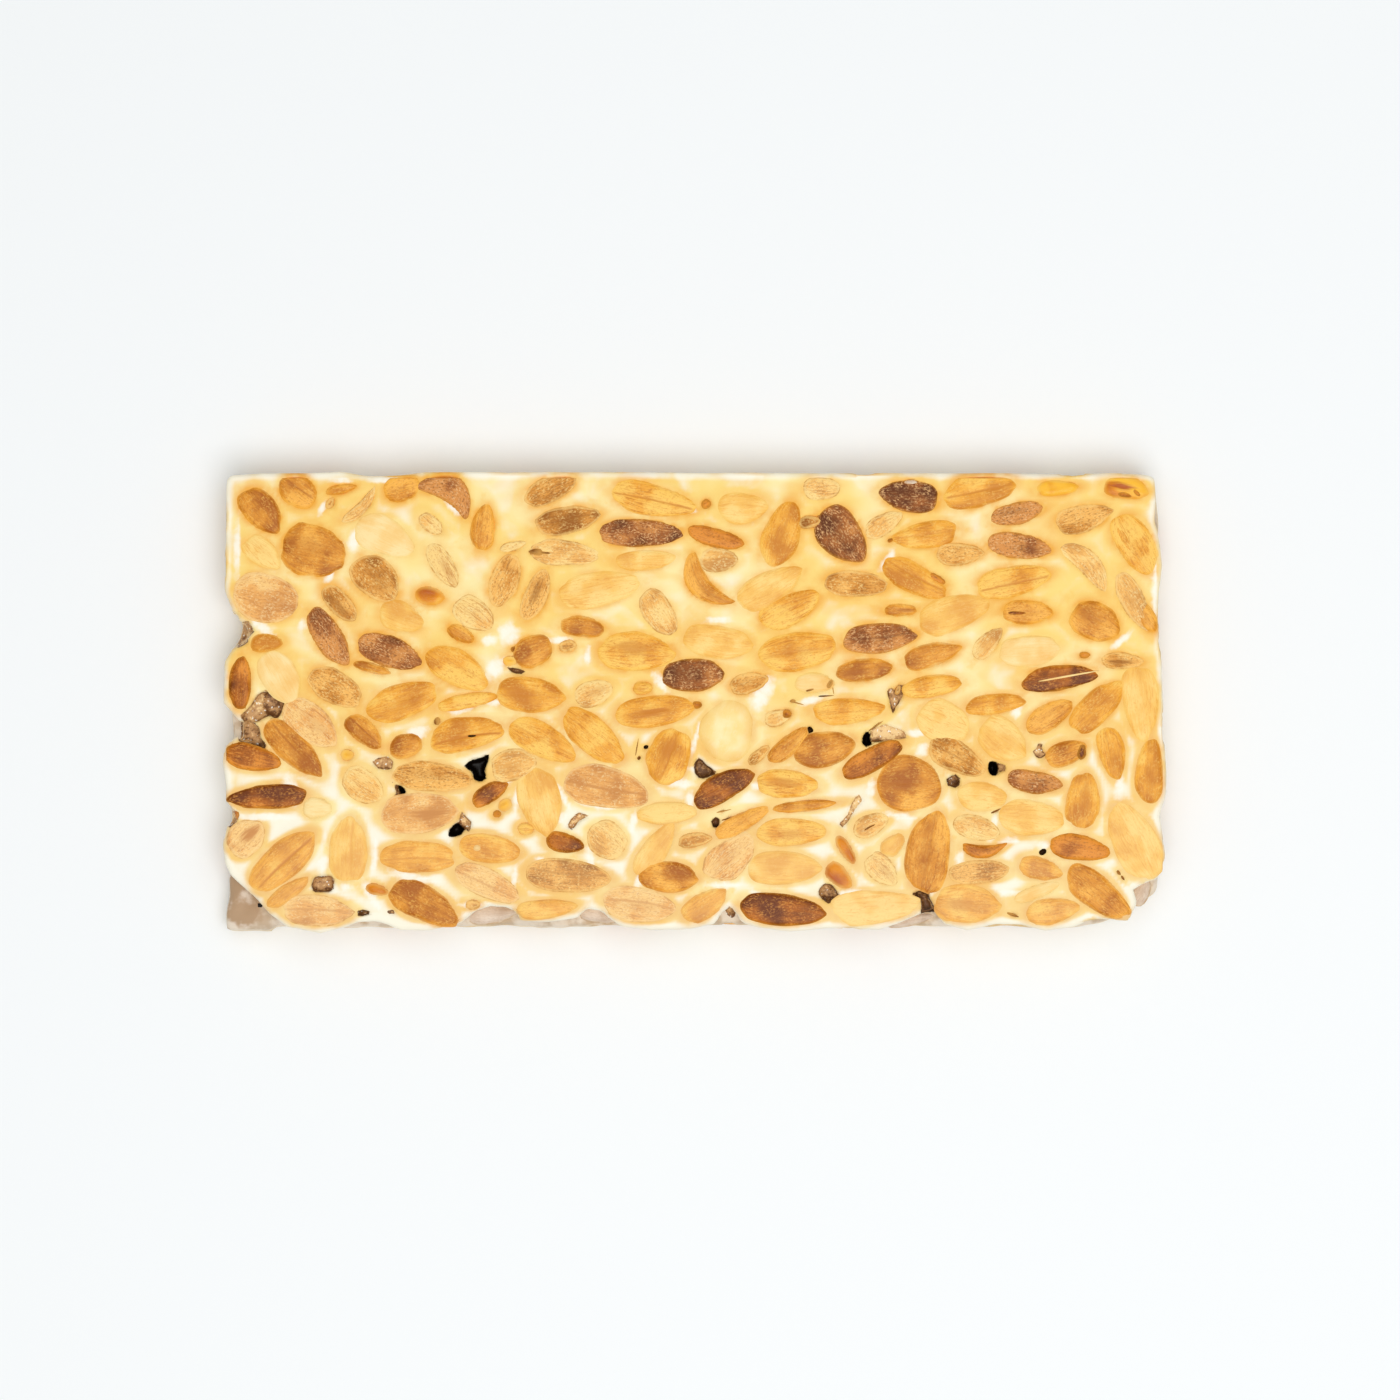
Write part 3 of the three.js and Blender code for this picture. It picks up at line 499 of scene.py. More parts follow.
def clear_of(bed, others):
    """Whether a bed keeps off the other beds in its wall."""
    for other in others:
        if other["out"] @ bed["out"] < 0.9:
            continue
        offset = bed["middle"] - other["middle"]
        u = 2 * (offset @ other["along"]) / (other["length"] + bed["width"] + 1)
        v = 2 * (offset @ other["across"]) / (other["width"] + bed["width"] + 0.5)
        if math.hypot(u, v) < 1:
            return False
    return True


def filler_beds(taken):
    """Flush almonds in the free places of the walls, from seeded tries."""
    draw = drawer(59)
    found = []
    for _ in range(FILLER_TRIES):
        run, reach, heading, out = wall_frame(int(4 * draw()))
        length, width, turn = draw(6, 12), draw(3.5, 5.5), draw(-50, 50)
        foot, height = heading * draw(5 - run / 2, run / 2 - 5), draw(2.8, 13)
        high = height > LEDGE_HEIGHT
        crown = flush_crown(foot, heading, out, reach, length, high) - draw(0, 0.3)
        sort = WALL_SORTS[int(draw() * len(WALL_SORTS))]
        bed = wall_bed(sort, foot, heading, out, crown, height, (length, width), turn)
        angle = math.radians(turn)
        half_height = math.hypot(length / 2 * math.sin(angle), width / 2 * math.cos(angle))
        lowest, highest = (LEDGE_HEIGHT + 0.6, CANDY_TOP - 0.5) if high else (0.8, LEDGE_HEIGHT - 0.8)
        fits = lowest < height - half_height and height + half_height < highest
        if fits and clear_of(bed, taken + found):
            found.append(bed)
    return found


def beyond_break(x, y):
    """Distance beyond the line along which the front right corner of the ledge broke off."""
    (x0, y0), (x1, y1) = (place(*mark) for mark in BROKEN_CORNER)
    return ((y0 - y1) * (x - x0) + (x1 - x0) * (y - y0)) / math.hypot(x1 - x0, y1 - y0)


def in_sound_wall(bed):
    """Whether a wall almond keeps off the broken corner and the gaps that open to the edge."""
    x, y, z = bed["middle"]
    ends = [bed["middle"] + side * bed["along"] * bed["length"] / 2 for side in (-1, 1)]
    if max(beyond_break(end[0], end[1]) for end in ends) > -1.2:
        return False
    if float(from_marks(x, y, OPEN_BAY)) < bed["length"] / 2 or float(from_marks(x, y, CORNER_RUN)) < 3:
        return False
    if max(abs(x) - BAR_LENGTH / 2, abs(y) - BAR_WIDTH / 2) < DEEP_INSIDE:
        return False
    return z < LEDGE_HEIGHT - 2 or min(float(from_marks(x, y, corners)) for _, _, corners in GAPS) > 3


beds += filler_beds(beds[top_count:])
beds = beds[:level_count] + [bed for bed in beds[level_count:] if in_sound_wall(bed)]
wall_count = len(beds)
print(wall_count - level_count, "beds in the walls")

# %% [markdown]
# The underside shows almonds too, pressed flat against the floor of the frame. A loose brickwork of places
# with seeded jitter keeps them evenly crowded without making rows that the eye could find.

# %% Beds in the underside
UNDERSIDE = 0.35  # the candy's underside is this high, and its almonds reach down to the table
BRICK_ROWS, BRICKS = 10, 12
BRICK_LENGTH, BRICK_WIDTH = 16.5, 9.2


def underside_beds():
    """Almonds in a jittered brickwork over the underside."""
    draw = drawer(83)
    found = []
    for row in range(BRICK_ROWS):
        for brick in range(BRICKS):
            x = (brick - 5.6 + 0.5 * (row % 2)) * BRICK_LENGTH + draw(-2.2, 2.2)
            y = (row - 4.5) * BRICK_WIDTH + draw(-1.2, 1.2)
            length, width, turn = draw(10.5, 18), draw(6, 9), draw(-60, 60)
            open_near = beyond_break(x, y) > -11 or float(from_marks(x, y, OPEN_BAY)) < 10
            if abs(x) > BAR_LENGTH / 2 - 9 or abs(y) > BAR_WIDTH / 2 - 6 or open_near:
                continue
            along, across = turned(turn, np.array([1.0, 0, 0]), np.array([0, -1.0, 0]))
            found.append({
                "sort": WALL_SORTS[int(draw() * len(WALL_SORTS))], "middle": np.array([x, y, UNDERSIDE]),
                "along": along, "across": across, "out": -UP, "length": length, "width": width,
                "crease": 0.3 * draw(), "core": 0.5 * draw(),
            })
    return found


beds += underside_beds()
print(len(beds) - wall_count, "beds in the underside")

# %% [markdown]
# ## The candy body
#
# The candy could be cut from boxes with booleans, but its form is soft: rounded edges, a ledge that flows
# into the wall, holes with worn rims. A field of distances does all of that with minimum and maximum. For
# each point of a grid it says how far the point is from the surface, below zero inside. Smooth versions of
# minimum and maximum join the upper slab to the ledge and cut the holes with rounded edges.

# %% Helpers for the field of distances
def smooth_larger(a, b, blend):
    """The larger of two fields, with the edge between them rounded over the blend distance."""
    overlap = np.maximum(blend - np.abs(a - b), 0) / blend
    return np.maximum(a, b) + overlap**2 * blend / 4


def smooth_smaller(a, b, blend):
    """The smaller of two fields, rounded in the same way."""
    return -smooth_larger(-a, -b, blend)


def ripples(x, y, z, size, seed):
    """Soft lumps of about the given size, between -1 and 1, from a few crossing waves."""
    draws = np.random.default_rng(seed)
    total = 0
    for _ in range(7):
        heading = draws.normal(size=3)
        heading *= 2 * math.pi / (size * draws.uniform(0.7, 1.5) * np.linalg.norm(heading))
        total = total + np.sin(x * heading[0] + y * heading[1] + z * heading[2] + draws.uniform(0, 6.3))
    return total / 4


print("field helpers ready")

# %% [markdown]
# The grid has a little air on each side, so that the skin closes. Two outlines are measured from straight
# above: the wavy edge of the top face, and the ledge, which is the frame's rectangle with round corners.

# %% The grid and the two outlines
CELL = 0.71
AIR = 2.5
EDGE_SPREAD = 0.5  # the rounding of the top edge takes back this much
CORNER_RADIUS = 4

xs = np.arange(-BAR_LENGTH / 2 - AIR, BAR_LENGTH / 2 + AIR, CELL)
ys = np.arange(-BAR_WIDTH / 2 - AIR, BAR_WIDTH / 2 + AIR, CELL)
zs = np.arange(-AIR, BAR_HEIGHT + AIR, CELL)
X, Y, Z = np.meshgrid(xs, ys, zs, indexing="ij")
plan_x, plan_y = np.meshgrid(xs, ys, indexing="ij")

upper_plan = outline_distance(plan_x, plan_y, edge)[:, :, None] - EDGE_SPREAD
half = np.array([BAR_LENGTH, BAR_WIDTH]) / 2 - WALL_SETBACK - CORNER_RADIUS
corner_x, corner_y = np.abs(plan_x) - half[0], np.abs(plan_y) - half[1]
ledge_plan = np.hypot(np.maximum(corner_x, 0), np.maximum(corner_y, 0)) - CORNER_RADIUS
ledge_plan = (ledge_plan + np.minimum(np.maximum(corner_x, corner_y), 0))[:, :, None]
print("grid of", X.shape, "points")

# %% [markdown]
# Now the field itself: the upper slab and the ledge are joined, and the run, the open bay and the underside
# are worked in. The last number of each join is how far its edge is rounded, in millimetres. Soft lumps make
# the walls look cooked and not cast, and get weaker at the top edge.

# %% The field of the candy
lumps = ripples(X, Y, Z, 11, 3) * 0.28 + ripples(X, Y, Z, 5, 4) * 0.14
below = ease(Z, CANDY_TOP - 1, CANDY_TOP - 4)
upper = smooth_larger(upper_plan + lumps * (0.3 + 0.7 * below) + 0.5 * below, Z - CANDY_TOP, 0.8)
ledge_plan = smooth_larger(ledge_plan, beyond_break(plan_x, plan_y)[:, :, None], 1.5)
ledge = smooth_larger(ledge_plan + 1.2 * lumps, Z - LEDGE_HEIGHT + 3 * lumps, 1.6)
run_plan = from_marks(plan_x, plan_y, CORNER_RUN)[:, :, None]
run = smooth_larger(run_plan - 0.8 + 0.7 * lumps, Z - LEDGE_HEIGHT + CORNER_RUN_DROP + 3 * lumps, 1.2)
field = smooth_smaller(upper, smooth_smaller(ledge, run, 0.8), 1.8)
field = smooth_larger(field, -from_marks(plan_x, plan_y, OPEN_BAY)[:, :, None], 0.8)
field = smooth_larger(field, UNDERSIDE - Z, 1.0)


def gap_field(depth, marks):
    """Distance to one gap: a pit whose walls lean in a little towards its floor."""
    sunk = CANDY_TOP - Z
    plan = from_marks(plan_x, plan_y, marks)[:, :, None]
    return smooth_larger(plan + 0.1 * np.clip(sunk, 0, depth), sunk - depth, 0.4)


crags = ripples(X, Y, Z, 2.4, 5) * 0.1
gaps = np.minimum.reduce([gap_field(depth, marks) for depth, _, marks in GAPS]) + crags
field = smooth_larger(field, -gaps, 0.3)
print(int((field < 0).sum()), "points of the grid are inside the candy")

# %% [markdown]
# A skin is wrapped round the field by surface nets. Every grid cell that the surface passes through gets one
# point, at the mean of the places where the surface crosses the cell's edges, and every grid edge that it
# crosses gets one face between its four cells. The skin that this gives is even and closed, which the dents
# and tints of the next step need.

# %% Wrap the skin
def wrap(field, xs, ys, zs):
    """Points and four-sided faces of the surface where the field is zero."""
    inside = field < 0
    corner_steps = np.array([[i, j, k] for i in (0, 1) for j in (0, 1) for k in (0, 1)])
    shape = np.array(field.shape) - 1
    blocks = [inside[i:i + shape[0], j:j + shape[1], k:k + shape[2]] for i, j, k in corner_steps]
    count = sum(block.astype(int) for block in blocks)
    cells = np.argwhere((count > 0) & (count < 8))
    values = field[tuple((cells[:, None, :] + corner_steps).transpose(2, 0, 1))]
    total, crossings = np.zeros((len(cells), 3)), np.zeros(len(cells))
    for first in range(8):
        for second in range(first + 1, 8):
            if np.abs(corner_steps[first] - corner_steps[second]).sum() != 1:
                continue
            a, b = values[:, first], values[:, second]
            crossed = (a < 0) != (b < 0)
            share = np.where(crossed, a / np.where(a == b, 1, a - b), 0)[:, None]
            spot = corner_steps[first] + share * (corner_steps[second] - corner_steps[first])
            total += spot * crossed[:, None]
            crossings += crossed
    origin = np.array([xs[0], ys[0], zs[0]])
    points = origin + CELL * (cells + total / crossings[:, None])

    number = np.full(tuple(shape), -1)
    number[tuple(cells.T)] = np.arange(len(cells))
    faces = []
    for axis in range(3):
        one, two = (axis + 1) % 3, (axis + 2) % 3
        start = np.take(inside, range(0, inside.shape[axis] - 1), axis)
        end = np.take(inside, range(1, inside.shape[axis]), axis)
        at = np.argwhere(start != end)
        step_one, step_two = np.eye(3, dtype=int)[one], np.eye(3, dtype=int)[two]
        ring = [at - step_one - step_two, at - step_two, at, at - step_one]
        quads = np.stack([number[tuple(corner.T)] for corner in ring], axis=1)
        outward = start[tuple(at.T)]
        faces.append(np.where(outward[:, None], quads, quads[:, ::-1]))
    return points, np.concatenate(faces)


candy_points, candy_faces = wrap(field, xs, ys, zs)
print(len(candy_points), "points and", 2 * len(candy_faces), "triangles in the candy")

# %% [markdown]
# ## Dents, warmth and shade
#
# Each bed now works on the skin. Inside an almond's outline the candy is pushed in, so that the almond can
# lie there; just outside, it is tinted. The warm halo round an almond is partly oil and colour that the toasted
# almond gave the candy, and partly a painted glow of light that the clear candy carries from the almond; it is
# one of the things that make the bar look good enough to eat. The tints are kept on the points as attributes,
# and the finish reads them later.

# %% Press the beds into the candy
# How much each sort warms the candy round it, partly as a painted glow.
GLOW = {"skin": 1.0, "brown": 1.0, "rough": 0.9, "amber": 1.0, "gold": 0.9, "pale": 0.65, "blanched": 0.7,
        "split": 0.5, "veiled": 0.3, "cream": 0.6, "painted_light_and_grime": 0.0, "honey": 0.9, "crack_lines_and_shade": 0.2}
BED_DEPTH = 1.1
FAR = 9.0  # stands for no almond near

normals = np.zeros_like(candy_points)
corners = candy_points[candy_faces]
face_normals = np.cross(corners[:, 2] - corners[:, 0], corners[:, 3] - corners[:, 1])
for corner in range(4):
    np.add.at(normals, candy_faces[:, corner], face_normals)
normals /= np.linalg.norm(normals, axis=1)[:, None]

frontness = ease(candy_points[:, 1], 18, -34)
warmth = np.zeros(len(candy_points))
pushed = np.zeros_like(candy_points)
openness = np.full(len(candy_points), FAR)
for bed in beds:
    reach = bed["length"] / 2 + 5
    near = np.flatnonzero(np.abs(candy_points - bed["middle"]).max(axis=1) < reach)
    near = near[normals[near] @ bed["out"] > 0.3]
    out, share = in_bed(candy_points[near], bed)
    facing = np.abs(out) < 3.5
    outside = (share - 1) * bed["width"] / 2
    level = abs(bed["out"][2]) > 0.5
    # The warm halo: partly the almond's colour in the candy, partly a painted glow.
    halo = np.exp(-(np.maximum(outside, 0) / (0.85 - 0.2 * frontness[near]))**1.3)
    glow = 0.9 * GLOW[bed["sort"]] * (1 - 0.3 * frontness[near]) * halo * facing
    warmth[near] = np.maximum(warmth[near], glow if level else 0.6 * glow)
    openness[near] = np.minimum(openness[near], np.where(facing, np.maximum(outside, 0), FAR))
    dent = BED_DEPTH * (1 - (ease(share, 0.6, 0.88) if level else ease(share, 0.78, 1.0))) * facing
    deepest = np.maximum(-(pushed[near] @ bed["out"]), dent)
    pushed[near] = -deepest[:, None] * bed["out"]
print("warm share of the candy:", round(float((warmth > 0.5).mean()), 2))

# %% [markdown]
# Between the almonds the candy sank a little as it cooled. The gaps get painted shade over their own brown, and
# are darkest under their front wall, which the light doesn't reach. The ledge caught crumbs and grime.

# %% Sink the candy between the almonds and shade the gaps
FRONT_WALL_SHADE = 0.16

level_up = ease(normals[:, 2], 0.5, 0.9) * ease(candy_points[:, 2], CANDY_TOP - 1.5, CANDY_TOP - 0.5)
sag = 0.25 * ease(openness, 0.3, 3.0) + 0.08 * ripples(*candy_points.T, 4, 6) * ease(openness, 0.1, 1)
pushed[:, 2] -= sag * level_up

mouth_distance = np.full(len(candy_points), 3.0)
gap_brown_and_shade = np.zeros(len(candy_points))
for _, dark, marks in GAPS:
    corners = np.array([place(*mark) for mark in marks])
    distance = outline_distance(candy_points[:, 0], candy_points[:, 1], corners)
    nearer = (distance < mouth_distance) & (candy_points[:, 2] > LEDGE_HEIGHT - 1.5)
    front, back = corners[:, 1].min(), corners[:, 1].max()
    shaded = dark + FRONT_WALL_SHADE * ease(candy_points[:, 1], (front + back) / 2, front + 0.5)
    mouth_distance[nearer], gap_brown_and_shade[nearer] = distance[nearer], np.minimum(shaded, 1)[nearer]
on_ledge = candy_points[:, 2] < LEDGE_HEIGHT + 1.2
grime = np.zeros(len(candy_points))
for *row, dark in CRUMBS:
    share = in_bed(candy_points, level_bed("", row, LEDGE_HEIGHT))[1]
    if dark < DEEP_PIT:
        grime = np.where(on_ledge, np.maximum(grime, dark * ease(share, 1.1, 0.8)), grime)
    else:
        within = on_ledge & (share < 1)
        mouth_distance[within], gap_brown_and_shade[within] = ((share - 1) * row[3] / 2 * MARK)[within], dark
print("deepest sag:", round(float((sag * level_up).max()), 2), "mm")

# %% [markdown]
# Milk and the torn white spots are the two whites of the candy: fine bubbles that gather away from the almonds
# and at the rim, and torn spots that are white foam with a painted highlight on them. The walls are sheer, so
# less white lies on them, and they are a little warmer.

# %% Milk, foam with painted highlights, and painted shade on the ledge
edge_depth = -outline_distance(candy_points[:, 0], candy_points[:, 1], edge)
milk = ease(openness, 0.1, 1.6) * (0.22 + 0.5 * frontness) + 0.5 * ease(edge_depth, 1.6, 0.2)
# Spots of white foam with a painted highlight, on the top face only.
foam_and_highlight = np.zeros(len(candy_points))
for row in FOAM_AND_HIGHLIGHT_SPOTS:
    share = in_bed(candy_points, level_bed("", row, CANDY_TOP))[1]
    foam_and_highlight = np.maximum(foam_and_highlight, 0.85 * ease(share, 1.8, 0.4) * (candy_points[:, 2] > CANDY_TOP - 2))
candy_points += pushed
facing_up = ease(normals[:, 2], 0.1, 0.6)
sheer = (1 - facing_up) * ease(candy_points[:, 2], CANDY_TOP - 0.6, CANDY_TOP - 2.5)
milk *= 1 - 0.7 * sheer
warmth = np.maximum(warmth, 0.24 * sheer)
# The painted gap shade is weaker on sheer walls near the edge.
gap_brown_and_shade -= 0.45 * sheer * ease(edge_depth, 4.5, 1.0)
# Faces below the top get a grey painted shade, full on the upward faces of the ledge and less on the walls; the
# crumbs' grime is added.
painted_light_and_grime = ease(candy_points[:, 2], CANDY_TOP - 2, LEDGE_HEIGHT + 1.5) * (0.3 + 0.7 * facing_up) + grime
print("deepest bed:", round(float(-pushed.min()), 2), "mm")

# %% [markdown]
# ## From numbers to meshes
#
# Blender takes large meshes quickest as flat arrays. This helper fills a mesh from points and faces, joins
# any number of parts into one object, and stores the attributes that the finishes read.

# %% Mesh helper
def mesh_object(name, points, faces, attributes):
    """A smooth object from points in millimetres, faces of three or four corners, and point attributes."""
    mesh = bpy.data.meshes.new(name)
    mesh.vertices.add(len(points))
    mesh.vertices.foreach_set("co", (points * MM).astype(np.float32).ravel())
    corners = np.concatenate([block.ravel() for block in faces])
    sizes = np.concatenate([np.full(len(block), block.shape[1]) for block in faces])
    mesh.loops.add(len(corners))
    mesh.loops.foreach_set("vertex_index", corners.astype(np.int32))
    mesh.polygons.add(len(sizes))
    mesh.polygons.foreach_set("loop_start", (np.cumsum(sizes) - sizes).astype(np.int32))
    mesh.update(calc_edges=True)
    for key, values in attributes.items():
        made = mesh.attributes.new(key, "FLOAT_VECTOR", "POINT")
        made.data.foreach_set("vector", values.astype(np.float32).ravel())
    mesh.shade_smooth()
    piece = bpy.data.objects.new(name, mesh)
    bpy.context.scene.collection.objects.link(piece)
    return piece


print("mesh helper ready")

# %% Make the candy body
tints = np.stack([warmth, mouth_distance, gap_brown_and_shade], axis=1)
lies = np.stack([painted_light_and_grime, milk, foam_and_highlight], axis=1)
candy = mesh_object("candy_body", candy_points, [candy_faces], {"tint": tints, "lie": lies})
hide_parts("nougat_bar")
print("candy body made")

# %% [markdown]
# ## The almonds
#
# One almond is a disc of points that is blown up: a low crown on the outside, and a deeper belly that hides
# in the candy. Only the outline, the crown and the surface lines show. Its points carry their own place on
# the almond, so a finish can draw fibres along it, a crease down its middle or a dark rim, at any turn.

# %% The disc, outline and crown of one almond
RIM_SINK = 0.06  # the rim lies this deep under the candy, so no seam shows round the almond
SPOT_RISE = 0.05


def almond_disc(around, rings, belly_rings):
    """The unit disc of an almond: turn and radius of each point, its side (1 crown, -1 belly), and faces."""
    crown_radii = np.sin(np.linspace(0, math.pi / 2, rings + 1))[1:]
    belly_radii = np.cos(np.linspace(0, math.pi / 2, belly_rings + 1))[1:-1]
    radii = np.concatenate([crown_radii, belly_radii])
    sides = np.concatenate([np.ones(rings), -np.ones(belly_rings - 1)])
    turns = np.arange(around) * 2 * math.pi / around
    turn = np.concatenate([[0], np.tile(turns, len(radii)), [0]])
    radius = np.concatenate([[0], np.repeat(radii, around), [0]])
    side = np.concatenate([[1], np.repeat(sides, around), [-1]])
    here = np.arange(around)
    there = (here + 1) % around
    fans = np.stack([np.zeros(around, int), 1 + here, 1 + there], axis=1)
    quads = [np.stack([1 + k * around + here, 1 + (k + 1) * around + here,
                       1 + (k + 1) * around + there, 1 + k * around + there], axis=1)
             for k in range(len(radii) - 1)]
    last = 1 + (len(radii) - 1) * around
    end_fans = np.stack([np.full(around, last + around), last + there, last + here], axis=1)
    return turn, radius, side, np.concatenate([fans, end_fans]), np.concatenate(quads)


def almond_outline(turn, length, width, draws):
    """The outline of an almond: an oval, a little square or lumpy, with one narrow, pointed end."""
    squareness = 2 / draws.uniform(2.0, 2.4)
    cosine, sine = np.cos(turn), np.sin(turn)
    u, v = np.sign(cosine) * np.abs(cosine)**squareness, np.sign(sine) * np.abs(sine)**squareness
    lump = 1 + sum(draws.uniform(0, size) * np.sin(waves * turn + draws.uniform(0, 6.3))
                   for waves, size in ((2, 0.04), (3, 0.06), (5, 0.035), (8, 0.02), (13, 0.012)))
    slim = taper(length, width)
    narrow = 1 - slim * (u / 2 + FULL_WIDTH_BEHIND) - slim * draws.uniform(0, 0.9) * np.maximum(u, 0)**4
    return u * lump * length / 2, v * lump * narrow * width / 2


def crown_height(bed, number, radius, draws):
    """How far the crown stands out: pressed flat on top and below, rounder in the walls."""
    if bed.get("flat"):
        return SPOT_RISE * (1 - radius**2)
    if number < top_count or bed["out"][2] < -0.5:
        rise = draws.uniform(0.26, 0.42) if number < top_count else 0.28
        return rise * np.clip(1 - radius**4, 0, 1)**0.8 - RIM_SINK
    if bed["out"][2] > 0.5:
        return 1.5 * np.sqrt(np.clip(1 - radius**2, 0, 1))
    return WALL_DOME_RISE * np.clip(1 - radius**4, 0, 1)**0.6


print("a disc of 24 points round and 8 rings has", len(almond_disc(24, 8, 5)[0]), "points")

# %% [markdown]
# The disc is then laid in its bed. The frame pressed the back and the two ends straight, and the table and the
# press the underside and the top, so no point may pass those planes.

# %% Build one almond in its bed
# The marks of the back, left and right edge of the top face, which the frame pressed straight.
BACK_EDGE, LEFT_EDGE, RIGHT_EDGE = 478, 226, 1163
OFF_THE_TABLE = 0.05


def pressed(points, in_top_face):
    """The points of an almond, moved inside the planes of the frame and the press."""
    points[:, 0] = np.clip(points[:, 0], place(LEFT_EDGE, 0)[0], place(RIGHT_EDGE, 0)[0])
    points[:, 1] = np.clip(points[:, 1], -BAR_WIDTH / 2, place(0, BACK_EDGE)[1])
    points[:, 2] = np.clip(points[:, 2], OFF_THE_TABLE, BAR_HEIGHT if in_top_face else CANDY_TOP - 0.5)
    return points


def almond_part(bed, number):
    """Points, faces and attributes of the almond in a bed."""
    draws = np.random.default_rng(1000 + number)
    length, width = bed["length"], bed["width"]
    in_top_face = number < top_count
    fineness = 1.0 if in_top_face else 0.7
    around = int(np.clip(3.1 * length * fineness, 18, 60))
    rings = int(np.clip(1.9 * width * fineness, 5, 16))
    turn, radius, side, triangles, quads = almond_disc(around, rings, 5)
    rim_x, rim_y = almond_outline(turn, length, width, draws)
    x, y = radius * rim_x, radius * rim_y
    u, v = 2 * x / length, 2 * y / width
    fibre = y / np.sqrt(np.maximum(1 - 0.8 * u * u, 0.2))
    y = y + bed.get("bent", 0) * width * (u * u - 0.4)
    crown = crown_height(bed, number, radius, draws)
    belly = -(0.6 if bed.get("flat") else 0.32 * width) * np.sqrt(np.clip(1 - radius**2, 0, 1))
    offset, bend = draws.uniform(-0.16, 0.16), draws.uniform(-0.2, 0.2)
    line = np.abs(v - offset - bend * u * u)
    crease = bed["crease"] * np.exp(-(line / 0.1)**2) * np.exp(-(u / 0.75)**4)
    grooves = 0.02 * np.sin(v * width * 2.4 + 0.5 * np.sin(3 * u + number) + number)
    lumps = 0.05 * np.sin(2.3 * u + draws.uniform(0, 6)) * np.sin(2.6 * v + draws.uniform(0, 6))
    crown = crown + (lumps + grooves - 0.15 * crease) * (1 - radius**2) * (not bed.get("flat"))
    z = np.where(side > 0, crown, belly)
    points = bed["middle"] + np.outer(x, bed["along"]) + np.outer(y, bed["across"]) + np.outer(z, bed["out"])
    points = pressed(points, in_top_face)

    same = np.ones(len(points))
    from_rim = np.where(side > 0, (1 - radius) * np.hypot(rim_x, rim_y), 0)
    tone, lean = draws.normal(bed.get("tone", 0), 0.2), draws.uniform(-1, 1)
    frost = float(ease(bed["middle"][1], -14, -46)) if in_top_face else 0.3
    core_u, core_v = draws.uniform(-0.3, 0.3), draws.uniform(-0.2, 0.2)
    core = bed["core"] or draws.uniform(-0.2, 0.35)
    attributes = {
        "grain": np.stack([x, fibre, same * 7.3 * number], axis=1),
        "spot": np.stack([u, v, from_rim], axis=1),
        "crease": np.stack([same * offset, same * bend, same * bed["crease"]], axis=1),
        "core": np.stack([same * core_u, same * core_v, same * max(core, 0)], axis=1),
        "mood": np.stack([same * tone, same * lean, same * frost], axis=1),
    }
    return points, triangles, quads, attributes


print("almond builder ready")

# %% [markdown]
# All almonds of one sort are joined in one object, so the bar has thirteen almond pieces and not four hundred.

# %% Join the almonds by sort
def almonds_of(sort):
    """All almonds of one sort, joined in one object."""
    parts = [almond_part(bed, number) for number, bed in enumerate(beds) if bed["sort"] == sort]
    starts = np.cumsum([0] + [len(part[0]) for part in parts[:-1]])
    points = np.concatenate([part[0] for part in parts])
    triangles = np.concatenate([part[1] + start for part, start in zip(parts, starts)])
    quads = np.concatenate([part[2] + start for part, start in zip(parts, starts)])
    attributes = {key: np.concatenate([part[3][key] for part in parts]) for key in parts[0][3]}
    piece = mesh_object(f"almonds_{sort}", points, [triangles, quads], attributes)
    print(f"{piece.name}: {len(parts)} almonds, {len(triangles) + 2 * len(quads)} triangles")
    return piece


almonds = {sort: almonds_of(sort) for sort in TOP_ALMONDS}

# %% [markdown]
# ## A small kit for finishes
#
# Each finish is a tree of texture nodes. Writing a tree node by node is long, so this kit has one short
# method for each kind of node. Each method returns the socket that the next one takes. Sums are the commonest
# nodes, so they have names of their own, and two of them recur in every finish: swing centres a noise on zero,
# and frayed uses it to make a value, such as the distance to a rim, ragged.

# %% The finish kit
def tint(red, green, blue):
    """A screen colour, 0 to 255, as the linear colour that Blender's shaders take."""
    screen = np.array([red, green, blue]) / 255
    linear = np.where(screen <= 0.04045, screen / 12.92, ((screen + 0.055) / 1.055)**2.4)
    return (*linear, 1.0)


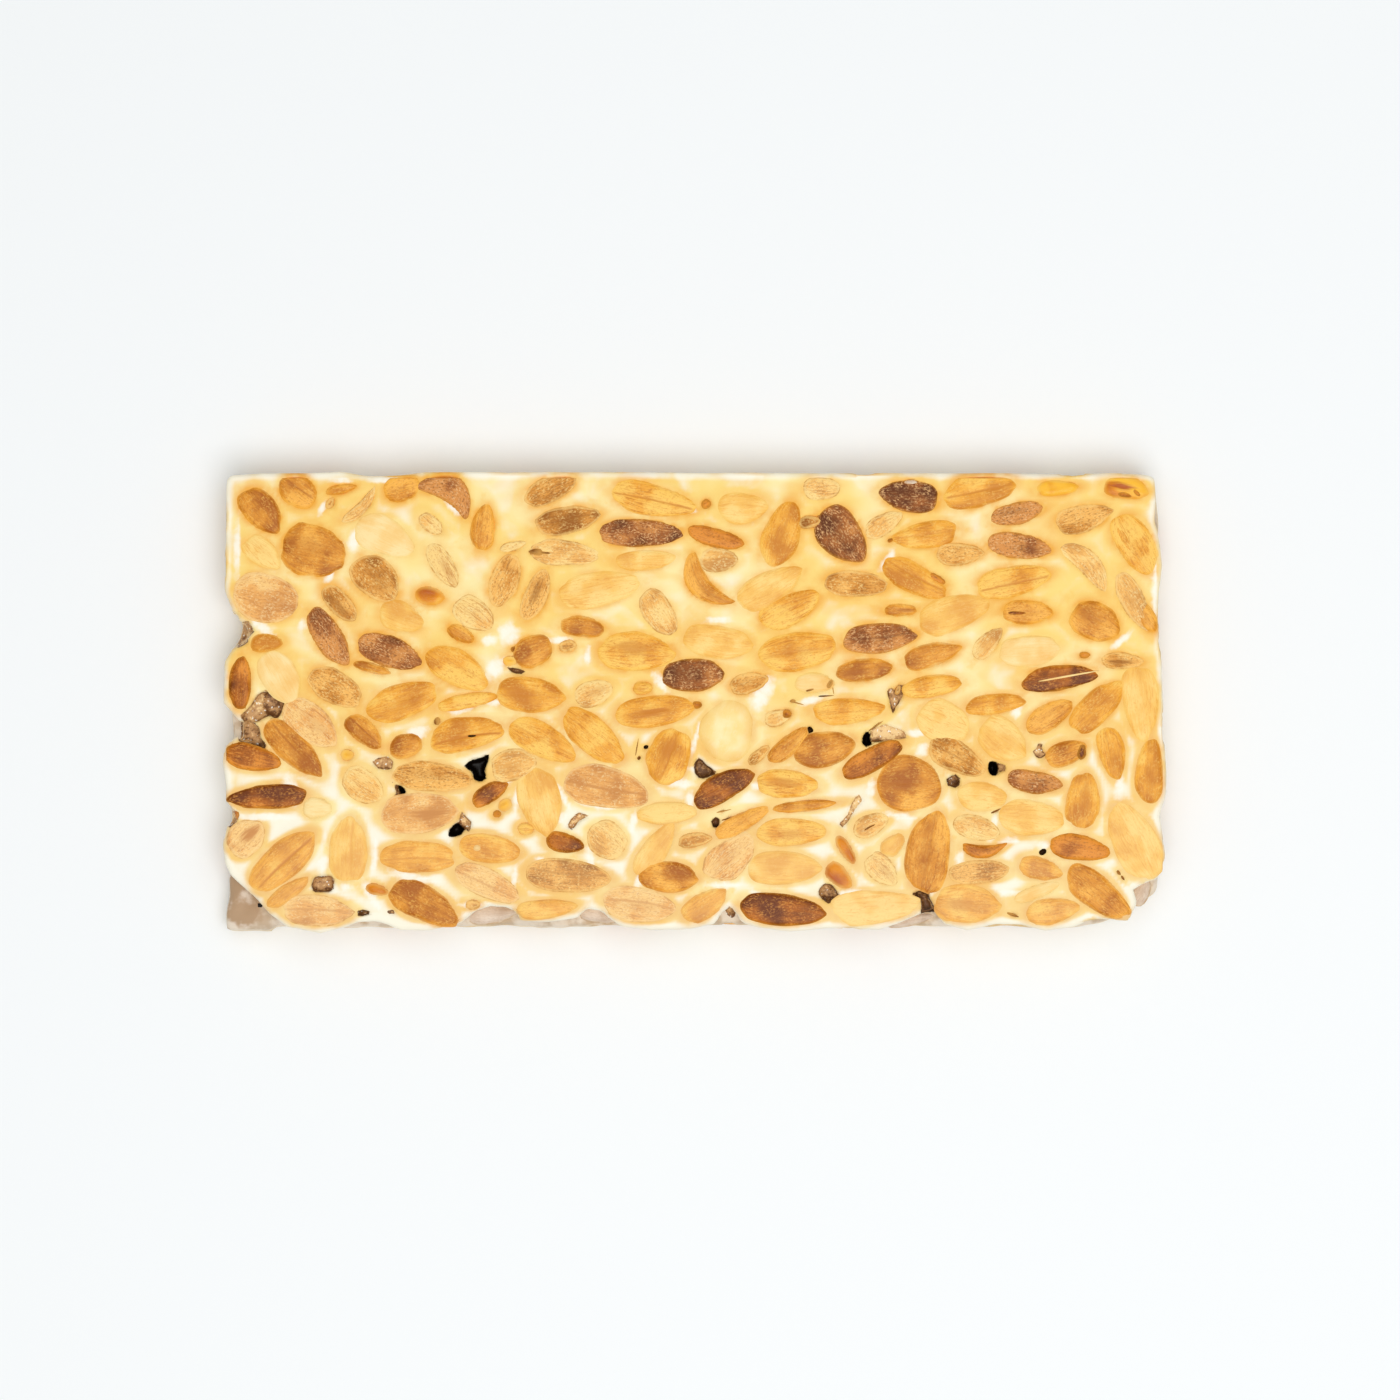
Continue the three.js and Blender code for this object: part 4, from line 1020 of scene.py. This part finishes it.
class Finish:
    """One material and the nodes that feed it."""

    def __init__(self, name):
        self.material = bpy.data.materials.new(name)
        self.material.use_nodes = True
        self.nodes = self.material.node_tree.nodes
        self.links = self.material.node_tree.links
        self.shader = self.nodes["Principled BSDF"]

    def feed(self, socket, value):
        """Links a socket to another node's output, or sets it to a plain value."""
        if isinstance(value, bpy.types.NodeSocket):
            self.links.new(value, socket)
        else:
            socket.default_value = value

    def spot(self):
        """The place on the bar, in metres."""
        return self.nodes.new("ShaderNodeTexCoord").outputs["Object"]

    def stored(self, name):
        """A point attribute, whole and as its three numbers."""
        node = self.nodes.new("ShaderNodeAttribute")
        node.attribute_name = name
        split = self.nodes.new("ShaderNodeSeparateXYZ")
        self.links.new(node.outputs["Vector"], split.inputs[0])
        return node.outputs["Vector"], *split.outputs

    def stretch(self, where, factors):
        """A place with each direction scaled: a larger factor gives narrower marks."""
        node = self.nodes.new("ShaderNodeVectorMath")
        node.operation = "MULTIPLY"
        self.feed(node.inputs[0], where)
        self.feed(node.inputs[1], factors)
        return node.outputs[0]

    def forward(self, where):
        """The part of a place that runs from the front (below zero) to the back of the bar."""
        split = self.nodes.new("ShaderNodeSeparateXYZ")
        self.feed(split.inputs[0], where)
        return split.outputs[1]

    def clouds(self, where, scale, detail=2.0, rough=0.5, warp=0.0):
        """Noise round 0.5: on a place in metres, a scale of 100 gives patches about 10 mm wide."""
        node = self.nodes.new("ShaderNodeTexNoise")
        named = {"Vector": where, "Scale": scale, "Detail": detail, "Roughness": rough, "Distortion": warp}
        for socket, value in named.items():
            self.feed(node.inputs[socket], value)
        return node.outputs[0]

    def maths(self, kind, a, b=0.0, c=0.0):
        node = self.nodes.new("ShaderNodeMath")
        node.operation = kind
        for socket, value in zip(node.inputs, (a, b, c)):
            self.feed(socket, value)
        return node.outputs[0]

    def plus(self, a, b):
        return self.maths("ADD", a, b)

    def minus(self, a, b):
        return self.maths("SUBTRACT", a, b)

    def times(self, a, b):
        return self.maths("MULTIPLY", a, b)

    def times_plus(self, a, b, c):
        return self.maths("MULTIPLY_ADD", a, b, c)

    def swing(self, noise, amount):
        return self.times(self.minus(noise, 0.5), amount)

    def frayed(self, value, noise, amount):
        return self.times_plus(noise, amount, self.minus(value, amount / 2))

    def off_middle(self, noise, middle=0.5):
        """How far a noise is from its middle: thin lines run where this is near zero."""
        return self.maths("ABSOLUTE", self.minus(noise, middle))

    def ramp(self, value, start, end, low=0.0, high=1.0):
        """low before start, high after end, smooth between them."""
        node = self.nodes.new("ShaderNodeMapRange")
        node.interpolation_type = "SMOOTHSTEP"
        for socket, number in zip(node.inputs, (value, start, end, low, high)):
            self.feed(socket, number)
        return node.outputs[0]

    def mix(self, share, first, second):
        """The first colour where share is 0, and the second where it is 1."""
        node = self.nodes.new("ShaderNodeMix")
        node.data_type = "RGBA"
        for socket, value in ((0, share), (6, first), (7, second)):
            self.feed(node.inputs[socket], value)
        return node.outputs[2]

    def bump(self, height, distance, strength=1.0):
        node = self.nodes.new("ShaderNodeBump")
        for socket, value in (("Strength", strength), ("Distance", distance), ("Height", height)):
            self.feed(node.inputs[socket], value)
        self.links.new(node.outputs[0], self.shader.inputs["Normal"])

    def put(self, **sockets):
        """Sets or links sockets of the shader by name, with _ for a space."""
        for name, value in sockets.items():
            self.feed(self.shader.inputs[name.replace("_", " ")], value)


print("finish kit ready")

# %% [markdown]
# ## The candy's colour
#
# The candy is cream where it is thick, white where tiny air bubbles gather, honey yellow where it is clear,
# and warm next to an almond. The same colour also fades the rims of the almonds, because a thin film of candy
# runs over them. So it is made by one function that both kinds of finish call: noise placed by the place on
# the bar then runs on without a seam from the candy onto the film.

# %% Candy colour
BUTTER = tint(253, 219, 127)
PALE_BUTTER = tint(254, 234, 167)
FRONT_BUTTER = tint(248, 212, 144)
WHITE = tint(254, 247, 226)
# White of the foam, and of the painted highlights and glints.
FOAM_AND_HIGHLIGHT_WHITE = tint(255, 252, 240)
WARM = tint(242, 170, 66)
FRONT_WARM = tint(234, 172, 98)
CLEAR = tint(250, 200, 100)
UNDER = tint(250, 198, 98)  # an almond that shows faintly through the candy over it


def candy_colour(finish, warm, milk):
    """The colour of candy without dirt or gaps, for a given warmth and milkiness."""
    spot = finish.spot()
    near_front = finish.ramp(finish.forward(spot), 0.018, -0.034)
    butter = finish.mix(finish.times(near_front, 0.7), BUTTER, FRONT_BUTTER)
    colour = finish.mix(finish.ramp(finish.clouds(spot, 60, 2.0), 0.4, 0.64), butter, PALE_BUTTER)
    colour = finish.mix(finish.ramp(finish.clouds(spot, 240, 3.0, 0.55), 0.58, 0.74, 0, 0.5), colour, CLEAR)
    under = finish.clouds(finish.stretch(spot, (1.0, 1.7, 1.0)), 105, 1.5, 0.4)
    colour = finish.mix(finish.ramp(under, 0.5, 0.66, 0, 0.5), colour, UNDER)
    whiteness = finish.frayed(milk, finish.clouds(spot, 160, 2.5, 0.5, 0.5), 1.4)
    whiteness = finish.minus(whiteness, finish.times(warm, 0.25))
    colour = finish.mix(finish.ramp(whiteness, 0.05, 0.9), colour, WHITE)
    uneven = finish.ramp(finish.clouds(spot, 260, 2.0), 0.35, 0.6, 0.45, 1.0)
    # Warm next to an almond: partly its colour in the candy, partly a painted glow.
    return finish.mix(finish.times(warm, uneven), colour, finish.mix(near_front, WARM, FRONT_WARM))


print("candy colour ready")

# %% [markdown]
# The candy's own finish adds white foam with painted highlights, painted shade and grime on the ledge, and the
# gaps.
# A gap is tan where it is shallow and pale and brown where it is darker, and it is black painted shade only
# where it is deep. A painted shade line runs just inside its mouth, and a few painted glints of light lie in
# the paler gaps.

# %% Candy finish
# Gap colours: tan and brown of their own, a dark brown that is partly painted shade, and black painted shade
# for the deep gaps.
TAN = tint(244, 206, 146)
HOLLOW = tint(198, 150, 98)
DARK_HOLLOW = tint(112, 72, 38)
HOLE_SHADE = tint(18, 10, 4)
# Grey-beige painted shade of the ledge and lower walls, and a darker one that the grime also uses.
LEDGE_SHADE = tint(226, 208, 190)
DARK_SHADE_AND_GRIME = tint(184, 152, 120)


def gap_colour(finish, spot, dark, ragged):
    """The colour inside a gap: tan and brown of its own with painted shade over them, for how dark it is and
    the ragged distance from its mouth.
    """
    shade = finish.frayed(dark, finish.clouds(spot, 850, 3.0, 0.7), 1.5)
    # A painted shade line just inside the mouth of a gap.
    lip = finish.ramp(finish.maths("ABSOLUTE", finish.plus(ragged, 0.1)), 0.25, 0.0, 0, 0.18)
    shade = finish.plus(shade, lip)
    hollow = finish.mix(finish.ramp(shade, 0.1, 0.36), TAN, HOLLOW)
    hollow = finish.mix(finish.ramp(shade, 0.36, 0.7), hollow, DARK_HOLLOW)
    glints = finish.ramp(finish.clouds(spot, 1500, 1.0), 0.66, 0.71, 0, 0.85)
    hollow = finish.mix(finish.times(glints, finish.ramp(dark, 0.7, 0.5)), hollow, FOAM_AND_HIGHLIGHT_WHITE)
    return finish.mix(finish.ramp(dark, 0.7, 0.95), hollow, HOLE_SHADE)


def candy_finish():
    finish = Finish("hard candy")
    _, warm, mouth, dark = finish.stored("tint")
    _, ledge_shade_and_grime, milk, foam_and_highlight = finish.stored("lie")
    spot = finish.spot()
    colour = candy_colour(finish, warm, milk)
    # Torn spots of white foam with a painted highlight.
    torn = finish.frayed(foam_and_highlight, finish.clouds(spot, 700, 2.0), 0.9)
    colour = finish.mix(finish.ramp(torn, 0.1, 0.95, 0, 0.85), colour, FOAM_AND_HIGHLIGHT_WHITE)
    # Painted shade on the ledge, darker where grime lies.
    grey_shade_and_grime = finish.plus(finish.clouds(spot, 300, 3.0), finish.ramp(ledge_shade_and_grime, 1.0, 1.5, 0.0, 0.2))
    grey_shade_and_grime = finish.mix(finish.ramp(grey_shade_and_grime, 0.4, 0.65), LEDGE_SHADE, DARK_SHADE_AND_GRIME)
    colour = finish.mix(finish.maths("MINIMUM", finish.times(ledge_shade_and_grime, 0.8), 1.0), colour, grey_shade_and_grime)
    ragged = finish.frayed(mouth, finish.clouds(spot, 900, 2.0), 0.5)
    colour = finish.mix(finish.ramp(ragged, 0.12, -0.06), colour, gap_colour(finish, spot, dark, ragged))
    finish.bump(finish.clouds(spot, 900, 3.0, 0.6), 0.0002, 0.2)
    finish.put(Base_Color=colour, Roughness=0.45, Specular_IOR_Level=finish.ramp(warm, 0.6, 0.95, 0.2, 0.03))
    return finish.material


candy.data.materials.append(candy_finish())
print("candy finish made")

# %% [markdown]
# ## The almonds' colours
#
# Thirteen sorts lie in the bar, from dark skins with pale bran to drops of clear honey, but they are finished
# by one recipe with different numbers. Fibres run lengthwise, bran specks lie over them, a crease and a core
# darken where the rows ask for it, and candy veils the rim.

# %% The table of sorts
# Each sort: light, middle and dark colour; bran colour and amount; amount of dark veins; pale ring, thin line
# and candy film at the rim; and the roughness of its face.
SORTS = {
    "skin": ((222, 148, 76), (170, 99, 44), (102, 52, 20), (246, 192, 132),
        0.75, 0.2, 0.0, 0.3, 0.6, 0.6),
    "brown": ((232, 145, 48), (182, 100, 16), (110, 50, 2), (236, 160, 70),
        0.5, 0.3, 0.0, 0.3, 0.6, 0.4),
    "rough": ((250, 187, 98), (222, 149, 62), (160, 96, 30), (255, 212, 134),
        0.7, 0.7, 0.5, 0.5, 0.3, 0.6),
    "amber": ((252, 182, 76), (227, 148, 46), (176, 98, 22), (254, 198, 98),
        0.45, 0.6, 0.0, 0.4, 0.6, 0.4),
    "gold": ((255, 202, 96), (246, 172, 58), (208, 128, 34), (255, 210, 112),
        0.4, 0.8, 0.0, 0.35, 0.6, 0.4),
    "pale": ((255, 216, 130), (252, 197, 98), (236, 168, 74), (255, 220, 140),
        0.25, 0.7, 0.0, 0.3, 0.7, 0.4),
    "blanched": ((254, 206, 131), (245, 179, 100), (208, 140, 76), (255, 222, 162),
        0.6, 0.9, 0.4, 0.5, 0.3, 0.6),
    "split": ((255, 214, 134), (250, 188, 100), (206, 142, 70), (255, 226, 158),
        0.6, 0.9, 0.4, 0.6, 0.2, 0.5),
    "veiled": ((254, 226, 162), (253, 213, 138), (247, 194, 108), (255, 228, 166),
        0.15, 0.4, 0.0, 0.25, 0.8, 0.4),
    "cream": ((254, 236, 179), (253, 222, 144), (248, 205, 114), (255, 243, 203),
        0.2, 0.0, 0.0, 0.4, 0.7, 0.4),
    "honey": ((252, 188, 48), (230, 140, 8), (184, 88, 0), (250, 186, 80),
        0.0, 0.0, 0.0, 0.0, 0.75, 0.25),
    # Grey colours: painted shade on the ledge almonds, and a painted glint on the top face.
    "painted_light_and_grime": ((236, 218, 200), (222, 200, 180), (190, 160, 134), (240, 226, 208),
        0.3, 0.3, 0.0, 0.3, 0.2, 0.6),
    # Brown crack lines, down to black painted shade in the pin holes.
    "crack_lines_and_shade": ((206, 150, 76), (138, 84, 34), (30, 16, 6), (168, 114, 54),
        0.2, 0.0, 0.0, 0.0, 0.0, 0.7),
}
SMOOTH = ("honey", "cream")
print(len(SORTS), "sorts")

# %% [markdown]
# The layers of a face go on from the deepest to the top: fibres and blotches give the ground, dark veins and
# wrinkles follow the fibres, and bran with fine grit lies over all.

# %% Ground, veins and bran
def ground_layer(finish, sort, shades, grain, across, tone, lean):
    """Light, middle and dark colour along the fibres, with the noises that the other layers use again."""
    fibres = finish.clouds(finish.stretch(grain, (0.22, 2.2, 1.0)), 1.0, 3.0, 0.6, 0.3)
    blotches = finish.clouds(grain, 0.2, 2.0, 0.4)
    fibre_weight = 0.05 if sort in SMOOTH else 0.22
    depth = finish.times_plus(fibres, fibre_weight, 0.15 - fibre_weight / 2)
    depth = finish.times_plus(blotches, 0.75, depth)
    depth = finish.minus(depth, finish.times(tone, 0.09))
    depth = finish.plus(depth, finish.times(finish.times(lean, across), 0.08))
    light, middle, dark = shades
    colour = finish.mix(finish.ramp(depth, 0.4, 0.56), light, middle)
    return finish.mix(finish.ramp(depth, 0.52, 0.75), colour, dark), fibres, blotches


def vein_layers(finish, colour, dark, grain, fibres, blotches, vein_share):
    """Long dark veins, and finer wrinkles between them."""
    veins = finish.off_middle(finish.clouds(finish.stretch(grain, (0.09, 0.85, 1.0)), 1.0, 2.5, 0.55, 0.1))
    veins = finish.times(finish.ramp(veins, 0.028, 0.004), finish.ramp(blotches, 0.42, 0.6, 0.25, 1.0))
    colour = finish.mix(finish.times(veins, vein_share), colour, dark)
    wrinkles = finish.clouds(finish.stretch(grain, (0.3, 1.3, 1.0)), 1.0, 2.0, 0.6, 0.4)
    wrinkles = finish.ramp(finish.off_middle(wrinkles, 0.52), 0.03, 0.004)
    wrinkles = finish.times(wrinkles, finish.ramp(fibres, 0.4, 0.6))
    return finish.mix(finish.times(wrinkles, 0.8 * vein_share), colour, dark)


def bran_layers(finish, sort, colour, dark, bran, grain, bran_share):
    """Specks of pale bran in patches, and dark grit."""
    bran_noise = finish.clouds(finish.stretch(grain, (0.75, 1.2, 1.0)), 2.3, 3.0, 0.7)
    patches = finish.ramp(finish.clouds(grain, 0.5, 2.0), 0.38, 0.58, 0.25, 1.0)
    colour = finish.mix(finish.times(finish.ramp(bran_noise, 0.5, 0.6, 0, bran_share), patches), colour, bran)
    if sort not in SMOOTH:
        grit = finish.ramp(finish.clouds(finish.stretch(grain, (0.8, 1.1, 3.0)), 2.4, 2.0), 0.45, 0.35)
        colour = finish.mix(finish.times(grit, 0.7 * bran_share), colour, dark)
    return colour, bran_noise


print("ground, veins and bran ready")

# %% [markdown]
# A crease runs down the middle of some almonds, and some are dark at the core, where the skin came off last.
# At the rim lies a pale ring with a thin, broken, darker line outside it.

# %% Crease, core and rim
def crease_layer(finish, colour, dark, along, across, from_rim, fibres):
    """A dark line along the almond, bent and frayed, that ends before the rim."""
    _, crease_at, crease_bend, crease_depth = finish.stored("crease")
    bent = finish.times_plus(finish.times(along, along), crease_bend, crease_at)
    line = finish.maths("ABSOLUTE", finish.minus(across, bent))
    line = finish.plus(line, finish.swing(fibres, 0.16))
    crease = finish.times(finish.ramp(line, 0.11, 0.0), finish.ramp(from_rim, 0.4, 1.4))
    return finish.mix(finish.times(crease, crease_depth), colour, dark)


def core_layer(finish, colour, dark, along, across, fibres):
    """A dark, frayed core."""
    _, core_along, core_across, core_share = finish.stored("core")
    core_x = finish.times(finish.minus(along, core_along), 0.8)
    core_y = finish.times(finish.minus(across, core_across), 1.3)
    core_far = finish.maths("SQRT", finish.times_plus(core_x, core_x, finish.times(core_y, core_y)))
    core_far = finish.plus(core_far, finish.swing(fibres, 0.9))
    return finish.mix(finish.times(finish.ramp(core_far, 0.62, 0.12), core_share), colour, dark)


def rim_layers(finish, colour, line_colour, ring_colour, from_rim, waver, breaks, ring_share, line_share):
    """A pale ring a little inside the rim, and a thin, broken, darker line on it."""
    wavy = finish.frayed(from_rim, waver, 0.9)
    colour = finish.mix(finish.ramp(wavy, 0.95, 0.5, 0, ring_share), colour, ring_colour)
    thin = finish.ramp(finish.times_plus(waver, -1.0, finish.plus(from_rim, 0.5)), 0.46, 0.2)
    thin = finish.times(thin, finish.ramp(breaks, 0.4, 0.6, 0.1, 1.0))
    return finish.mix(finish.times(thin, line_share), colour, line_colour)


print("crease, core and rim ready")

# %% [markdown]
# Last, each sort gets its material. Sorts near the front also carry a little frost of candy, and every rim
# goes under a film of candy, or of oil where the skin is still on.

# %% One finish for each sort
LINE = tint(188, 120, 44)
OILY = tint(206, 142, 58)
FROST = tint(253, 222, 176)
FROSTED = ("gold", "pale", "rough", "blanched", "split")
DARK_LINED = ("brown", "amber", "gold", "pale")
WITH_SKIN = ("skin", "brown")
FILM_REACH = {"cream": 3.2, "honey": 1.2}
COMMON_FILM_REACH = 0.75


def almond_finish(sort):
    *colours, bran_share, vein_share, ring_share, line_share, film_share, roughness = SORTS[sort]
    light, middle, dark, bran = (tint(*colour) for colour in colours)
    finish = Finish(f"almond {sort}")
    grain, _, _, _ = finish.stored("grain")
    _, along, across, from_rim = finish.stored("spot")
    _, tone, lean, frost = finish.stored("mood")
    shades = (light, middle, dark)
    colour, fibres, blotches = ground_layer(finish, sort, shades, grain, across, tone, lean)
    colour = vein_layers(finish, colour, dark, grain, fibres, blotches, vein_share)
    colour, bran_noise = bran_layers(finish, sort, colour, dark, bran, grain, bran_share)
    colour = crease_layer(finish, colour, dark, along, across, from_rim, fibres)
    colour = core_layer(finish, colour, dark, along, across, fibres)
    if sort in FROSTED:
        colour = finish.mix(finish.times(frost, 0.14), colour, FROST)
    line_colour = dark if sort in DARK_LINED else LINE
    breaks = finish.clouds(grain, 0.8, 2.0)
    colour = rim_layers(finish, colour, line_colour, bran, from_rim, blotches, breaks, ring_share, line_share)
    film_edge = finish.plus(from_rim, finish.swing(blotches, 0.8))
    film = finish.ramp(film_edge, FILM_REACH.get(sort, COMMON_FILM_REACH), 0.0, 0, film_share)
    film_colour = OILY if sort in WITH_SKIN else candy_colour(finish, GLOW[sort], 0.0)
    colour = finish.mix(film, colour, film_colour)
    relief = finish.plus(fibres, finish.times(bran_noise, 0.5))
    finish.bump(relief, 0.0002, 0.3 if roughness > 0.45 else 0.2)
    dull_rim = finish.ramp(from_rim, 0.2, 1.2, 0.0, 0.2)
    finish.put(Base_Color=colour, Roughness=roughness, Specular_IOR_Level=dull_rim)
    return finish.material


for sort, piece in almonds.items():
    piece.data.materials.append(almond_finish(sort))
print(len(almonds), "almond finishes made")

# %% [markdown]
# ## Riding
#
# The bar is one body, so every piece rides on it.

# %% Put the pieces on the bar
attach(candy, "root")
for sort, piece in almonds.items():
    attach(piece, "root")
print("pieces:", 1 + len(almonds))

# %% [markdown]
# ## Table, light and camera
#
# The bar lies on a plain pale surface and is lit softly from the front, so the candy looks creamy and the
# shadows are faint. The camera looks straight down from about a metre away with a long lens.

# %% Floor
scene = bpy.context.scene
scene.view_settings.view_transform = "Standard"
bpy.ops.mesh.primitive_plane_add(size=6)
floor = bpy.context.object
floor.name = "pale_table"
floor_finish = Finish("pale table")
floor_finish.put(Base_Color=tint(247, 249, 251), Roughness=0.8)
floor.data.materials.append(floor_finish.material)
print("floor placed")

# %% Light
SKY_COLOUR = (0.975, 1.0, 0.985, 1.0)
SKY_STRENGTH = 0.42
FRONT_BOX_COLOUR, TOP_BOX_COLOUR = (1.0, 0.995, 0.985), (1.0, 1.0, 1.0)

world = bpy.data.worlds.new("soft sky")
world.use_nodes = True
sky = world.node_tree.nodes["Background"]
sky.inputs["Color"].default_value = SKY_COLOUR
sky.inputs["Strength"].default_value = SKY_STRENGTH
scene.world = world


def lamp(name, where, size, power, colour):
    """A square soft box that looks at the bar."""
    light = bpy.data.lights.new(name, "AREA")
    light.size, light.energy, light.color = size, power, colour
    holder = bpy.data.objects.new(name, light)
    holder.location = where
    holder.rotation_euler = (-Vector(where)).to_track_quat("-Z", "Y").to_euler()
    scene.collection.objects.link(holder)


lamp("front_soft_box", (0.16, -0.34, 1.25), 0.75, 6.6, FRONT_BOX_COLOUR)
lamp("top_soft_box", (0.06, 0.1, 1.4), 1.4, 6.9, TOP_BOX_COLOUR)
print("light placed")

# %% Camera
FRAME_MARKS = 1400
CAMERA_HEIGHT = 0.95
camera = bpy.data.objects.new("camera", bpy.data.cameras.new("camera"))
middle_x, middle_y = place(700, 700) * MM
camera.location = (middle_x, middle_y, BAR_HEIGHT * MM + CAMERA_HEIGHT)
camera.data.lens = camera.data.sensor_width * CAMERA_HEIGHT / (FRAME_MARKS * MARK * MM)
scene.collection.objects.link(camera)
scene.camera = camera
print(f"lens {camera.data.lens:.1f} mm")
